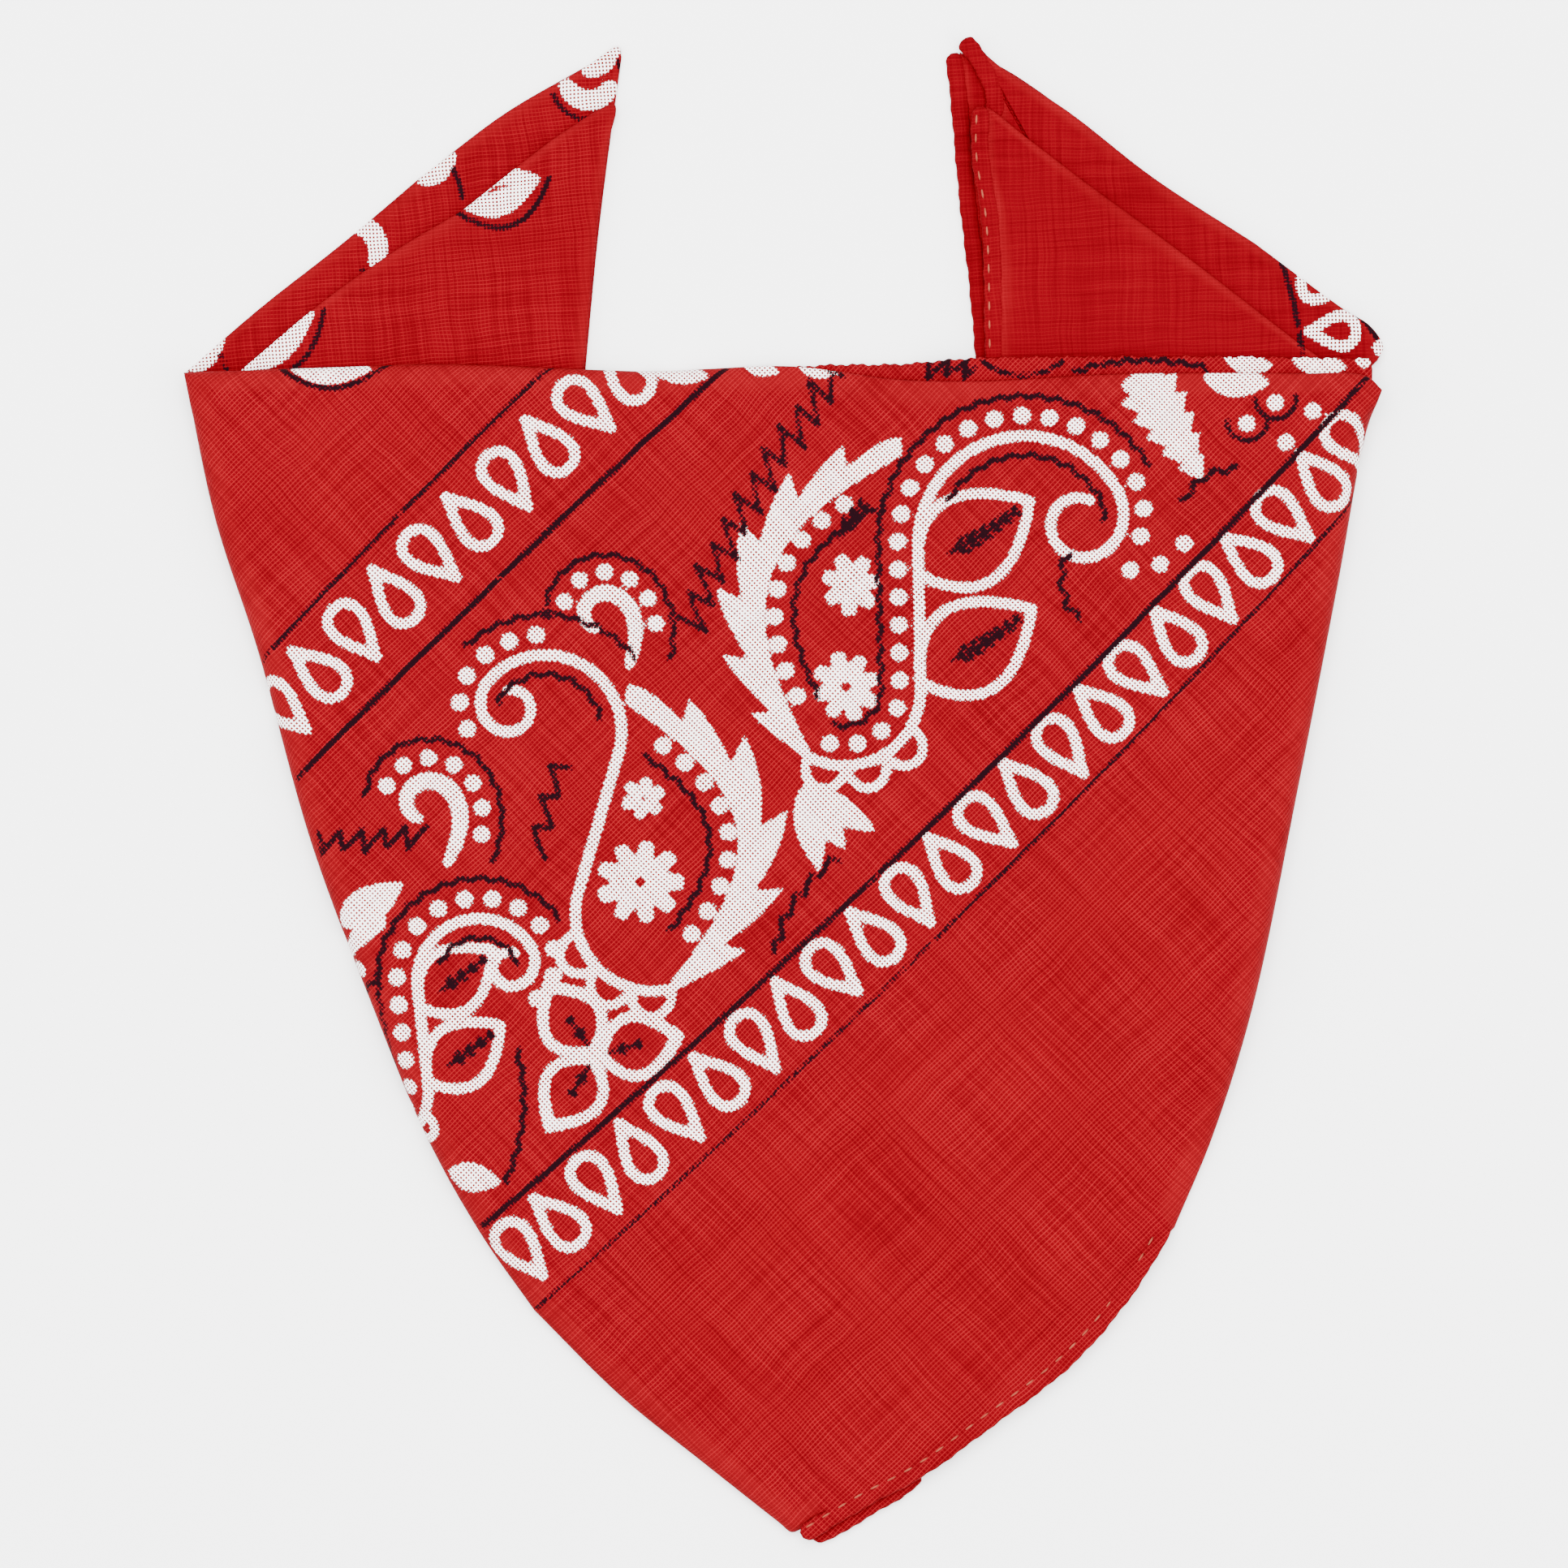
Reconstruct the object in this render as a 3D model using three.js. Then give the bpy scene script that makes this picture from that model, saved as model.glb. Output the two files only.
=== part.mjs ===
// A printed cotton bandana laid flat: the square is folded in quarters, then on the diagonal. Both ends of
// the long fold are turned back underneath, so that they stand up above it as two tails.
// Millimetres. +X is to the right and +Y up the page as it lies, +Z is up off the table, which is at z = 0.
import * as THREE from 'three';

// Driving dimensions
const SQUARE = 550; // the side of the hemmed square before it is folded
const WALL = 1.0; // a stretch of cloth, with the air that it holds
const GAP = 0.3; // between pieces that lie on or against each other
const HEM_WIDTH = 3.0; // the rolled hem
const HEM_HEIGHT = 1.2;
const HIDDEN_LAYERS = 3; // ridges that the hidden layers show at the hemmed edge
const HIDDEN_CLEARANCE = 0.75; // between the front cloth's inside and the layers under it
const PLEAT_WIDTH = 5.0; // the pleat behind the long fold, most of it hidden
const TUCK = 2.0; // how far a tail runs in under the folds above it
const FLAP_EASE = 16; // how far the cloth on top takes to sink from a turned-back end down to the table
const SIDE_ROLL = 2.6; // how far in from a side fold the cloth has rolled over to the flat

// Worked out from them
const DEPTH = (SQUARE / 2) * Math.SQRT1_2; // long fold to tip
const TOP = DEPTH - 124.3; // the long fold's height on the page, with the middle of the whole lay at y = 0
const TIP = TOP - DEPTH;
const STEP = WALL + GAP;
const LEFT_TAIL_TOP = STEP + WALL;
const RIGHT_TAIL_TOP = 2 * STEP + HEM_HEIGHT;
const MIDDLE_TOP = 3.4; // the stack of eight layers where it lies on the table itself
const LEFT_LIFT = LEFT_TAIL_TOP;
const RIGHT_LIFT = RIGHT_TAIL_TOP - GAP / 2;
const BELOW = TOP + TUCK / 4; // how low the right tail's layers run, just behind the pleat
const MIDDLE = { x: 2, y: 4 }; // the front cloth's middle
const LEFT_MIDDLE = { x: -48, y: 88 };
const RIGHT_MIDDLE = { x: 52, y: 88 };

// The turned-back ends under the front cloth are triangles, from an inner and an outer corner at the long
// fold down to a point
const FLAPS = {
  left: { inner: -32.8, outer: -99.2, point: -41.3, depth: 155.5, lift: LEFT_LIFT },
  right: { inner: 31.9, outer: 99.2, point: 65.0, depth: 137, lift: RIGHT_LIFT },
};

// The front cloth's slow swell: its height and its two wavelengths, as millimetres a radian
const SWELL = { height: 0.25, along: 21, across: 33 };

// The pleat climbs onto the right tail, and the front cloth's long fold rides over it and over the left tail
const PLEAT_CLIMB = { from: 20, run: 11, thick: 1.9, thin: 1.2 };
const FOLD_ON_LEFT = { from: -24, run: 7 };
const FOLD_ON_PLEAT = { from: -10, run: 7 };
const CORNER = { from: 62, run: 3.5 }; // the sides rise to the long fold over this stretch

// Edges of the lay, each a smooth line through its rows
const LEFT_FOLD = [
  { x: -99.2, y: TOP - 0.2 }, { x: -94.1, y: 45.8 }, { x: -87.1, y: 24.2 }, { x: -78.1, y: -8.1 },
  { x: -68.0, y: -35.0 }, { x: -59.1, y: -56.5 }, { x: -50.1, y: -72.7 }, { x: -41.3, y: -85.3 },
];
const LOWER_FOLD = [
  { x: -41.3, y: -85.3 }, { x: -26.9, y: -99.6 }, { x: -13.5, y: -110.4 }, { x: 1.3, y: TIP + 2.2 },
];
const FRONT_HEM = [
  { x: 3.8, y: TIP + 0.5, setBack: 2.9 }, { x: 13.5, y: -117.9, setBack: 2.4 },
  { x: 23.2, y: -112.7, setBack: 2.6 }, { x: 33.9, y: -105.0, setBack: 0.4 },
  { x: 47.9, y: -94.2, setBack: 0.4 }, { x: 57.2, y: -83.5, setBack: 1.2 },
  { x: 63.6, y: -73.6, setBack: 6 },
]; // setBack is how far in from the front hem the hidden layers' edges lie
const UNDER_HEM = [
  { x: 5.4, y: TIP }, { x: 10.2, y: -122.1 }, { x: 14.1, y: -119.6 }, { x: 19.2, y: -116.7 },
  { x: 23.5, y: -113.6 },
];
const RIGHT_FOLD = [
  { x: 64.8, y: -71.6 }, { x: 71.1, y: -56.5 }, { x: 77.7, y: -35.0 }, { x: 85.5, y: 2.7 },
  { x: 91.8, y: 35.0 }, { x: 96.5, y: 60.2 }, { x: 98.9, y: 67.0 },
];
const TOP_FOLD = [
  { x: 98.9, y: 67.0 }, { x: 96.2, y: 69.3 }, { x: 84.5, y: 69.7 }, { x: 55.0, y: 69.6 },
  { x: 31.6, y: 68.4 }, { x: 18.2, y: 68.9 }, { x: 8.2, y: 70.3 }, { x: 0.0, y: 71.1 },
  { x: -23.6, y: 70.3 }, { x: -56.7, y: 71.3 }, { x: -74.8, y: 70.8 }, { x: -99.2, y: TOP - 0.2 },
];
const PLEAT_FOLD = [
  { x: 1.5, y: 71.0 }, { x: 8.0, y: 71.4 }, { x: 18.8, y: 71.5 }, { x: 31.6, y: 72.3 },
  { x: 65.3, y: 72.6 }, { x: 97.4, y: 72.2 },
];
const LEFT_TAIL_SIDE = [
  { x: -27.3, y: 124.2 }, { x: -32.4, y: 121.1 }, { x: -46.2, y: 113.1 }, { x: -60.4, y: 102.3 },
  { x: -73.2, y: 91.5 }, { x: -86.8, y: 80.8 }, { x: -98.9, y: TOP + 0.2 },
];
const LEFT_TAIL_INNER = [
  { x: -33.0, y: TOP - TUCK }, { x: -30.8, y: 91.5 }, { x: -28.8, y: 107.7 }, { x: -26.8, y: 122.4 },
];
const LEFT_TAIL_FOLD = [
  { x: -27.9, y: 114.4 }, { x: -35.7, y: 110.4 }, { x: -53.2, y: 96.9 }, { x: -64.7, y: 90.0 },
  { x: -76.3, y: 81.8 }, { x: -89.9, y: 70.4 },
];
const RIGHT_TAIL_SIDE = [
  { x: 98.4, y: 72.0 }, { x: 99.4, y: 74.2 }, { x: 97.4, y: 77.6 }, { x: 92.5, y: 80.8 },
  { x: 78.1, y: 91.5 }, { x: 61.4, y: 102.3 }, { x: 47.5, y: 113.1 }, { x: 35.5, y: 121.1 },
  { x: 29.6, y: 124.2 },
];
const RIGHT_TAIL_FOLD = [
  { x: 84.5, y: 75.5 }, { x: 65.8, y: 89.9 }, { x: 49.8, y: 101.6 }, { x: 34.8, y: 112.6 },
];
const BACK_LAYER_HEM = [
  { x: 26.8, y: 122.9 }, { x: 27.6, y: 115.8 }, { x: 29.3, y: 96.9 }, { x: 30.6, y: 86.1 },
  { x: 32.0, y: TOP + TUCK / 4 },
];
const MIDDLE_LAYER_HEM = [
  { x: 28.8, y: 124.0 }, { x: 31.0, y: 119.8 }, { x: 33.6, y: 115.4 },
];
const FRONT_LAYER_HEM = [
  { x: 30.7, y: 112.8 }, { x: 32.0, y: 106.3 }, { x: 32.8, y: 94.6 }, { x: 33.4, y: TOP + TUCK / 4 },
];

function mix(from, to, share) {
  return from + (to - from) * share;
}

function ease(value) {
  const t = THREE.MathUtils.clamp(value, 0, 1);
  return t * t * (3 - 2 * t);
}

// Evenly spaced points along a smooth line through the rows, without the last one.
function along(rows, count) {
  const line = new THREE.CatmullRomCurve3(rows.map((row) => new THREE.Vector3(row.x, row.y, 0)));
  return line.getSpacedPoints(count).slice(0, count);
}

// The same line moved to its left by a distance, which may differ from row to row.
function moved(rows, distanceOf) {
  return rows.map((row, i) => {
    const distance = distanceOf(row);
    const before = rows[Math.max(i - 1, 0)];
    const after = rows[Math.min(i + 1, rows.length - 1)];
    const run = Math.hypot(after.x - before.x, after.y - before.y);
    return {
      x: row.x - ((after.y - before.y) / run) * distance,
      y: row.y + ((after.x - before.x) / run) * distance,
    };
  });
}

// A closed solid through rings with the same number of points, with a fan on the first and on the last.
function throughRings(rings, start, end) {
  const count = rings[0].length;
  const points = [start, ...rings.flat(), end];
  const faces = [];
  for (let i = 0; i < count; i += 1) {
    const next = (i + 1) % count;
    faces.push(0, 1 + next, 1 + i);
    for (let r = 0; r < rings.length - 1; r += 1) {
      const near = 1 + r * count;
      const far = near + count;
      faces.push(near + i, near + next, far + next);
      faces.push(near + i, far + next, far + i);
    }
    const last = 1 + (rings.length - 1) * count;
    faces.push(points.length - 1, last + i, last + next);
  }
  const geometry = new THREE.BufferGeometry();
  const places = points.flatMap((p) => [p.x, p.y, p.z]);
  geometry.setAttribute('position', new THREE.Float32BufferAttribute(places, 3));
  geometry.setIndex(faces);
  geometry.computeVertexNormals();
  return geometry;
}

// An outline that runs anticlockwise. Each point knows its way in to the middle, and how fast that leaves the
// edge.
function outlineOf(points, middle) {
  return points.map((p, i) => {
    const before = points[(i + points.length - 1) % points.length];
    const after = points[(i + 1) % points.length];
    const run = Math.hypot(after.x - before.x, after.y - before.y);
    const reach = Math.hypot(middle.x - p.x, middle.y - p.y);
    const way = { x: (middle.x - p.x) / reach, y: (middle.y - p.y) / reach };
    const square = (-(after.y - before.y) * way.x + (after.x - before.x) * way.y) / run;
    return { x: p.x, y: p.y, way, reach, pace: 1 / Math.max(square, 0.45) };
  });
}

// A ring of the outline moved in by a distance from the edge, or by a share of the way to the middle.
function ringAt(outline, inset, share, height) {
  return outline.map((p, i) => {
    const go = Math.max(inset(p, i) * p.pace, share * p.reach);
    const x = p.x + p.way.x * go;
    const y = p.y + p.way.y * go;
    return { x, y, z: height(x, y, i) };
  });
}

// One flat-lying layer: its edge is rounded over, and its faces are level.
function layer(points, middle, low, high) {
  const outline = outlineOf(points, middle);
  const round = 0.35 * (high - low);
  const rows = [
    { inset: 0, share: 0.5, z: low },
    { inset: round, share: 0, z: low },
    { inset: 0, share: 0, z: mix(low, high, 0.35) },
    { inset: 0, share: 0, z: mix(low, high, 0.65) },
    { inset: round, share: 0, z: high },
    { inset: 0, share: 0.5, z: high },
  ];
  const rings = rows.map((row) => ringAt(outline, () => row.inset, row.share, () => row.z));
  return throughRings(rings, { ...middle, z: low }, { ...middle, z: high });
}

// An end of a line, drawn back along it to stay clear of what it meets.
function pulledIn(end, next) {
  const share = (2 * GAP) / Math.hypot(next.x - end.x, next.y - end.y);
  return { x: mix(end.x, next.x, share), y: mix(end.y, next.y, share) };
}

// A hem or fold along a line: the line is its outer edge, and its body lies to the left.
function roll(rows, count, width, low, high) {
  const sides = 8;
  const points = [...along(rows, count), rows[rows.length - 1]];
  points[0] = pulledIn(points[0], points[1]);
  points[count] = pulledIn(points[count], points[count - 1]);
  const rings = points.map((p, i) => {
    const before = points[Math.max(i - 1, 0)];
    const after = points[Math.min(i + 1, points.length - 1)];
    const run = Math.hypot(after.x - before.x, after.y - before.y);
    const across = { x: -(after.y - before.y) / run, y: (after.x - before.x) / run };
    const slim = i === 0 || i === points.length - 1 ? 0.75 : 1;
    const bottom = low(p);
    const top = high(p);
    return Array.from({ length: sides }, (_, k) => {
      const turn = ((k + 0.5) / sides) * 2 * Math.PI;
      const out = width * 0.5 * (1 + (slim * Math.cos(turn)) / Math.cos(Math.PI / sides));
      const up = 0.5 * (1 + Math.sin(turn) / Math.sin(Math.PI / 2 - Math.PI / sides));
      return { x: p.x + across.x * out, y: p.y + across.y * out, z: mix(bottom, top, up) };
    });
  });
  const centre = (ring) => ({
    x: ring.reduce((sum, p) => sum + p.x, 0) / sides,
    y: ring.reduce((sum, p) => sum + p.y, 0) / sides,
    z: ring.reduce((sum, p) => sum + p.z, 0) / sides,
  });
  return throughRings(rings, centre(rings[0]), centre(rings[rings.length - 1]));
}

// How much of a turned-back end lies under a place on the front cloth, eased out beyond its inner edge
function flapShare(side, x, y) {
  const flap = FLAPS[side];
  const down = (TOP - y) / flap.depth;
  const inner = mix(flap.inner, flap.point, down);
  const outer = mix(flap.outer, flap.point, down);
  const over = side === 'left' ? inner - x : x - inner;
  return ease((over + FLAP_EASE) / FLAP_EASE) * ease(Math.abs(outer - inner) / FLAP_EASE);
}

// Height of the front cloth: eight layers on the table, and as many again over each turned-back end
function frontTop(x, y) {
  const swell = SWELL.height * Math.sin((x + 0.6 * y) / SWELL.along) * Math.cos((y - 0.4 * x) / SWELL.across);
  const lifted = Object.keys(FLAPS).reduce((sum, side) => sum + FLAPS[side].lift * flapShare(side, x, y), 0);
  return MIDDLE_TOP + lifted + swell;
}

// The narrow pleat behind the right half of the long fold lies on the table, then climbs onto the right tail.
function climbed(x) {
  return ease((x - PLEAT_CLIMB.from) / PLEAT_CLIMB.run);
}

function pleatLow({ x }) {
  return (RIGHT_TAIL_TOP + GAP) * climbed(x);
}

function pleatHigh({ x }) {
  return pleatLow({ x }) + mix(PLEAT_CLIMB.thick, PLEAT_CLIMB.thin, climbed(x));
}

// How low the front cloth rolls at the long fold: onto the table, onto the left tail, or onto the pleat.
function foldLow(x) {
  if (x < FOLD_ON_LEFT.from) {
    return (LEFT_TAIL_TOP + GAP) * ease((FOLD_ON_LEFT.from - x) / FOLD_ON_LEFT.run);
  }
  return (pleatHigh({ x: x + 1 }) + GAP) * ease((x - FOLD_ON_PLEAT.from) / FOLD_ON_PLEAT.run);
}

const insideHem = () => HEM_WIDTH + GAP;
const insideFrontHem = moved(FRONT_HEM, insideHem);
const panelPoints = [
  ...along(LEFT_FOLD, 15).map((p) => ({ x: p.x, y: p.y, edge: 'side' })),
  ...along(LOWER_FOLD, 7).map((p) => ({ x: p.x, y: p.y, edge: 'side' })),
  { ...LOWER_FOLD[LOWER_FOLD.length - 1], edge: 'side' },
  ...along(insideFrontHem, 11).map((p) => ({ x: p.x, y: p.y, edge: 'hem' })),
  { ...insideFrontHem[insideFrontHem.length - 1], edge: 'hem' },
  ...along(RIGHT_FOLD, 14).map((p) => ({ x: p.x, y: p.y, edge: 'side' })),
  ...along(TOP_FOLD, 27).map((p) => ({ x: p.x, y: p.y, edge: 'top' })),
];
const panelOutline = outlineOf(panelPoints, MIDDLE);

// Each point of the front cloth's outline rolls from its own low level, and an open hem doesn't roll at all.
const edgeLow = panelPoints.map((p) => {
  if (p.edge === 'hem') {
    return frontTop(p.x, p.y) - WALL;
  }
  return p.edge === 'top' ? foldLow(p.x) : foldLow(p.x) * ease((p.y - CORNER.from) / CORNER.run);
});
const FOLD_SECTION = [
  { inset: 0.6, up: 0 }, { inset: 0.2, up: 0.16 }, { inset: 0, up: 0.42 }, { inset: 0.12, up: 0.7 },
  { inset: 0.42, up: 0.91 }, { inset: 1, up: 1 },
];
const HEM_SECTION = [
  { inset: 0.2, up: 0 }, { inset: 0.1, up: 0.2 }, { inset: 0, up: 0.42 }, { inset: 0, up: 0.65 },
  { inset: 0.1, up: 0.85 }, { inset: 0.4, up: 1 },
];
const ROLL_INSIDE = [
  { inset: 1, up: 1 }, { inset: 0.25, up: 0.6 }, { inset: 0.6, up: 0 },
];
const HEM_INSIDE = [
  { inset: 1, up: 0 }, { inset: 0.6, up: 0 }, { inset: 0.3, up: 0 },
];
const SHARES = [0.1, 0.22, 0.4, 0.58, 0.78];

function rollWidth(i) {
  return Math.min(SIDE_ROLL, 0.5 * (frontTop(panelPoints[i].x, panelPoints[i].y) - edgeLow[i]) + 0.5);
}

function frontPanel() {
  const section = (row, i, fold, hem) => (panelPoints[i].edge === 'hem' ? hem[row] : fold[row]);
  const outer = FOLD_SECTION.map((_, row) => ringAt(
    panelOutline,
    (p, i) => section(row, i, FOLD_SECTION, HEM_SECTION).inset * rollWidth(i),
    0,
    (x, y, i) => mix(edgeLow[i], frontTop(x, y), section(row, i, FOLD_SECTION, HEM_SECTION).up),
  ));
  const inner = ROLL_INSIDE.map((_, row) => ringAt(
    panelOutline,
    (p, i) => WALL + section(row, i, ROLL_INSIDE, HEM_INSIDE).inset * rollWidth(i),
    0,
    (x, y, i) => mix(edgeLow[i], frontTop(x, y) - WALL, section(row, i, ROLL_INSIDE, HEM_INSIDE).up),
  ));
  const under = SHARES.map((share) => ringAt(panelOutline, () => 0, share, (x, y) => frontTop(x, y) - WALL));
  const over = SHARES.map((share) => ringAt(panelOutline, () => 0, share, (x, y) => frontTop(x, y)));
  const peak = frontTop(MIDDLE.x, MIDDLE.y);
  return throughRings(
    [...under.reverse(), ...inner, ...outer, ...over],
    { ...MIDDLE, z: peak - WALL },
    { ...MIDDLE, z: peak },
  );
}

// The hidden layers are one rounded solid with a flat underside. Their edges show past the front cloth's hem.
function innerFolds() {
  const hemCount = panelPoints.filter((p) => p.edge === 'hem').length;
  const edges = along(moved(FRONT_HEM, (row) => row.setBack), hemCount);
  const first = panelPoints.findIndex((p) => p.edge === 'hem');
  const points = panelPoints.map((p, i) => (p.edge === 'hem' ? { ...edges[i - first], edge: 'hem' } : p));
  const outline = outlineOf(points, MIDDLE);
  const top = (x, y) => frontTop(x, y) - WALL - HIDDEN_CLEARANCE;
  const clearance = { hem: 0, side: WALL + GAP + SIDE_ROLL, top: WALL + 2 * TUCK + GAP };
  const inset = (extra, ridge) => (p, i) => {
    const { edge } = points[i];
    return clearance[edge] + (edge === 'hem' ? ridge : extra);
  };
  const rings = [ringAt(outline, () => 0, 0.4, () => 0), ringAt(outline, inset(0.5, 0.5), 0, () => 0)];
  for (let k = 0; k < HIDDEN_LAYERS; k += 1) {
    const level = (share) => (x, y) => (top(x, y) * (k + share)) / HIDDEN_LAYERS;
    rings.push(ringAt(outline, inset(0.1, 0), 0, level(0.5)));
    rings.push(ringAt(outline, inset(0.2, 0.6), 0, level(1)));
  }
  rings.push(...SHARES.map((share) => ringAt(outline, inset(0.4, 0.8), share, top)));
  return throughRings(rings, { ...MIDDLE, z: 0 }, { ...MIDDLE, z: top(MIDDLE.x, MIDDLE.y) });
}

const reversed = (rows) => [...rows].reverse();

// The left tail is cloth folded at both long sides: a lower layer as wide as the tail, and one folded back on
// it.
const leftTuck = [{ x: -96.6, y: TOP - TUCK }, { x: -33.0, y: TOP - TUCK }];
const leftTailPleat = layer([
  ...along(LEFT_TAIL_SIDE, 14),
  ...along([LEFT_TAIL_SIDE[6], leftTuck[0]], 1),
  ...along(leftTuck, 8),
  ...along(LEFT_TAIL_INNER, 8),
  ...along([LEFT_TAIL_INNER[3], LEFT_TAIL_SIDE[0]], 1),
], LEFT_MIDDLE, 0, WALL);
const leftTail = layer([
  ...along(LEFT_TAIL_FOLD, 14),
  ...along([LEFT_TAIL_FOLD[5], { x: -92.4, y: TOP - TUCK }], 1),
  ...along([{ x: -92.4, y: TOP - TUCK }, { x: -33.4, y: TOP - TUCK }], 8),
  ...along(moved(LEFT_TAIL_INNER, () => GAP).slice(0, 3), 8),
], { x: LEFT_MIDDLE.x, y: LEFT_MIDDLE.y - 4 }, STEP, LEFT_TAIL_TOP);

// The right tail ends in open hems, so its three layers are set back one behind the other.
const rightEnd = { x: 96.6, y: BELOW };
const rightTailBack = layer([
  ...along(RIGHT_TAIL_SIDE.slice(0, 8), 16),
  ...along(moved(BACK_LAYER_HEM, insideHem), 9),
  ...along([{ x: 35.4, y: BELOW }, rightEnd], 8),
], RIGHT_MIDDLE, 0, WALL);
const rightTailPleat = layer([
  ...along(RIGHT_TAIL_SIDE.slice(0, 8), 16),
  ...along([...moved(MIDDLE_LAYER_HEM, insideHem).slice(1), { x: 38, y: 108 }, { x: 38, y: BELOW }], 10),
  ...along([{ x: 38, y: BELOW }, rightEnd], 8),
], RIGHT_MIDDLE, STEP, STEP + WALL);
const rightTail = layer([
  ...along([...RIGHT_TAIL_FOLD.slice(0, 3), { x: 38.5, y: 109.9 }], 12),
  ...along(moved(FRONT_LAYER_HEM, insideHem), 9),
  ...along([{ x: 36.7, y: BELOW }, { x: 90.0, y: BELOW }], 8),
  ...along([{ x: 90.0, y: BELOW }, RIGHT_TAIL_FOLD[0]], 1),
], { x: RIGHT_MIDDLE.x, y: RIGHT_MIDDLE.y - 4 }, 2 * STEP, 2 * STEP + WALL);

const at = (level) => () => level;
const onTop = (offset) => (p) => frontTop(p.x, p.y) + offset;

const COTTON = { color: 0xb8111a, roughness: 0.92, metalness: 0 };
const PIECES = {
  front_panel: frontPanel(),
  inner_folds: innerFolds(),
  front_hem: roll(FRONT_HEM, 22, HEM_WIDTH, onTop(-WALL), onTop(HEM_HEIGHT - WALL)),
  under_hem: roll(UNDER_HEM, 8, HEM_WIDTH, at(0), onTop(-WALL - 2 * GAP)),
  top_pleat: roll(reversed(PLEAT_FOLD), 30, PLEAT_WIDTH, pleatLow, pleatHigh),
  left_tail: leftTail,
  left_tail_pleat: leftTailPleat,
  right_tail: rightTail,
  right_tail_hem: roll(FRONT_LAYER_HEM, 14, HEM_WIDTH, at(2 * STEP), at(2 * STEP + HEM_HEIGHT)),
  right_tail_pleat: rightTailPleat,
  right_tail_pleat_hem: roll(MIDDLE_LAYER_HEM, 4, HEM_WIDTH, at(STEP), at(STEP + HEM_HEIGHT)),
  right_tail_back: rightTailBack,
  right_tail_back_hem: roll(BACK_LAYER_HEM, 16, HEM_WIDTH, at(0), at(HEM_HEIGHT)),
};

const bandana = new THREE.Group();
for (const [name, geometry] of Object.entries(PIECES)) {
  const mesh = new THREE.Mesh(geometry, new THREE.MeshStandardMaterial(COTTON));
  mesh.name = name;
  bandana.add(mesh);
}

export default bandana;
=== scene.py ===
import math

import bmesh
import bpy
import numpy as np
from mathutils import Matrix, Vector


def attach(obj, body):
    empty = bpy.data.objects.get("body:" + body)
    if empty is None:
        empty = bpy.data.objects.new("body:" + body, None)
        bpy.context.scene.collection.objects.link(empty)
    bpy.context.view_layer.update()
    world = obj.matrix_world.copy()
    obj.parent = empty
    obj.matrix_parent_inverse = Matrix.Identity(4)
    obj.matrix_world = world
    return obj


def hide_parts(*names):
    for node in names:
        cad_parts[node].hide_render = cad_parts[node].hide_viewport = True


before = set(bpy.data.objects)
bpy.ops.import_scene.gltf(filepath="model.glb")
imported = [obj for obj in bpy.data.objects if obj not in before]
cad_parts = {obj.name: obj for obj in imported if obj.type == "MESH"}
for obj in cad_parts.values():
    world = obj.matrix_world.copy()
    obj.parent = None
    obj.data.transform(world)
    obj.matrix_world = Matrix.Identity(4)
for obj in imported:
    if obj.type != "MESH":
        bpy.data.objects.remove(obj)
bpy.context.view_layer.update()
MM = 0.001

# The camera hangs straight above the laid cloth, as in the photograph, and a long lens keeps the view square.
VIEW_WIDTH = 260.05
VIEW_CENTRE = (0.1, 1.9)
CAMERA_HEIGHT = 1500.0
lens = bpy.data.cameras.new("overhead_camera")
lens.sensor_width = 36
lens.lens = 36 * CAMERA_HEIGHT / VIEW_WIDTH
lens.clip_end = 10
camera = bpy.data.objects.new("overhead_camera", lens)
camera.location = (VIEW_CENTRE[0] * MM, VIEW_CENTRE[1] * MM, CAMERA_HEIGHT * MM)
bpy.context.scene.collection.objects.link(camera)
bpy.context.scene.camera = camera

# Front cloth. The top quarter of the folded square: printed plain-weave cotton, rolled over at three sides
# and open at the lower right, where its hem lies. It rests on seven more layers of itself.
SQUARE = 550.0
CLOTH = 0.6
WALL = 1.0
GAP = 0.3
STEP = WALL + GAP
HEM_WIDTH = 3.0
HEM_HEIGHT = 1.2
HEM_COVER = 0.6
HEM_END = 0.3
SIDE_ROLL = 2.6
MIDDLE_TOP = 3.4
SWELL = 0.25
DEPTH = SQUARE / 2 * math.sqrt(0.5)
TIP = -124.3
TOP = TIP + DEPTH
LEFT_TAIL_TOP = STEP + WALL
RIGHT_TAIL_TOP = 2 * STEP + HEM_HEIGHT
LEFT_FOLD = [
    (-99.2, TOP - 0.2), (-94.1, 45.8), (-87.1, 24.2), (-78.1, -8.1),
    (-68.0, -35.0), (-59.1, -56.5), (-50.1, -72.7), (-41.3, -85.3),
]
LOWER_FOLD = [(-41.3, -85.3), (-26.9, -99.6), (-13.5, -110.4), (1.3, TIP + 2.2)]
FRONT_HEM = [
    (3.8, TIP + 0.5), (13.5, -117.9), (23.2, -112.7), (33.9, -105.0),
    (47.9, -94.2), (57.2, -83.5), (64.4, -72.2),
]
RIGHT_FOLD = [
    (64.8, -71.6), (71.1, -56.5), (77.7, -35.0), (85.5, 2.7), (91.8, 35.0), (96.5, 60.2), (98.9, 67.0),
]
TOP_FOLD = [
    (98.9, 67.0), (96.2, 69.3), (84.5, 69.7), (55.0, 69.6), (31.6, 68.4), (18.2, 68.9),
    (8.2, 70.3), (0.0, 71.1), (-23.6, 70.3), (-56.7, 71.3), (-74.8, 70.8), (-99.2, TOP - 0.2),
]


def mix(low, high, share):
    return low + (high - low) * share


def ease(value):
    t = np.clip(value, 0, 1)
    return t * t * (3 - 2 * t)


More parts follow.
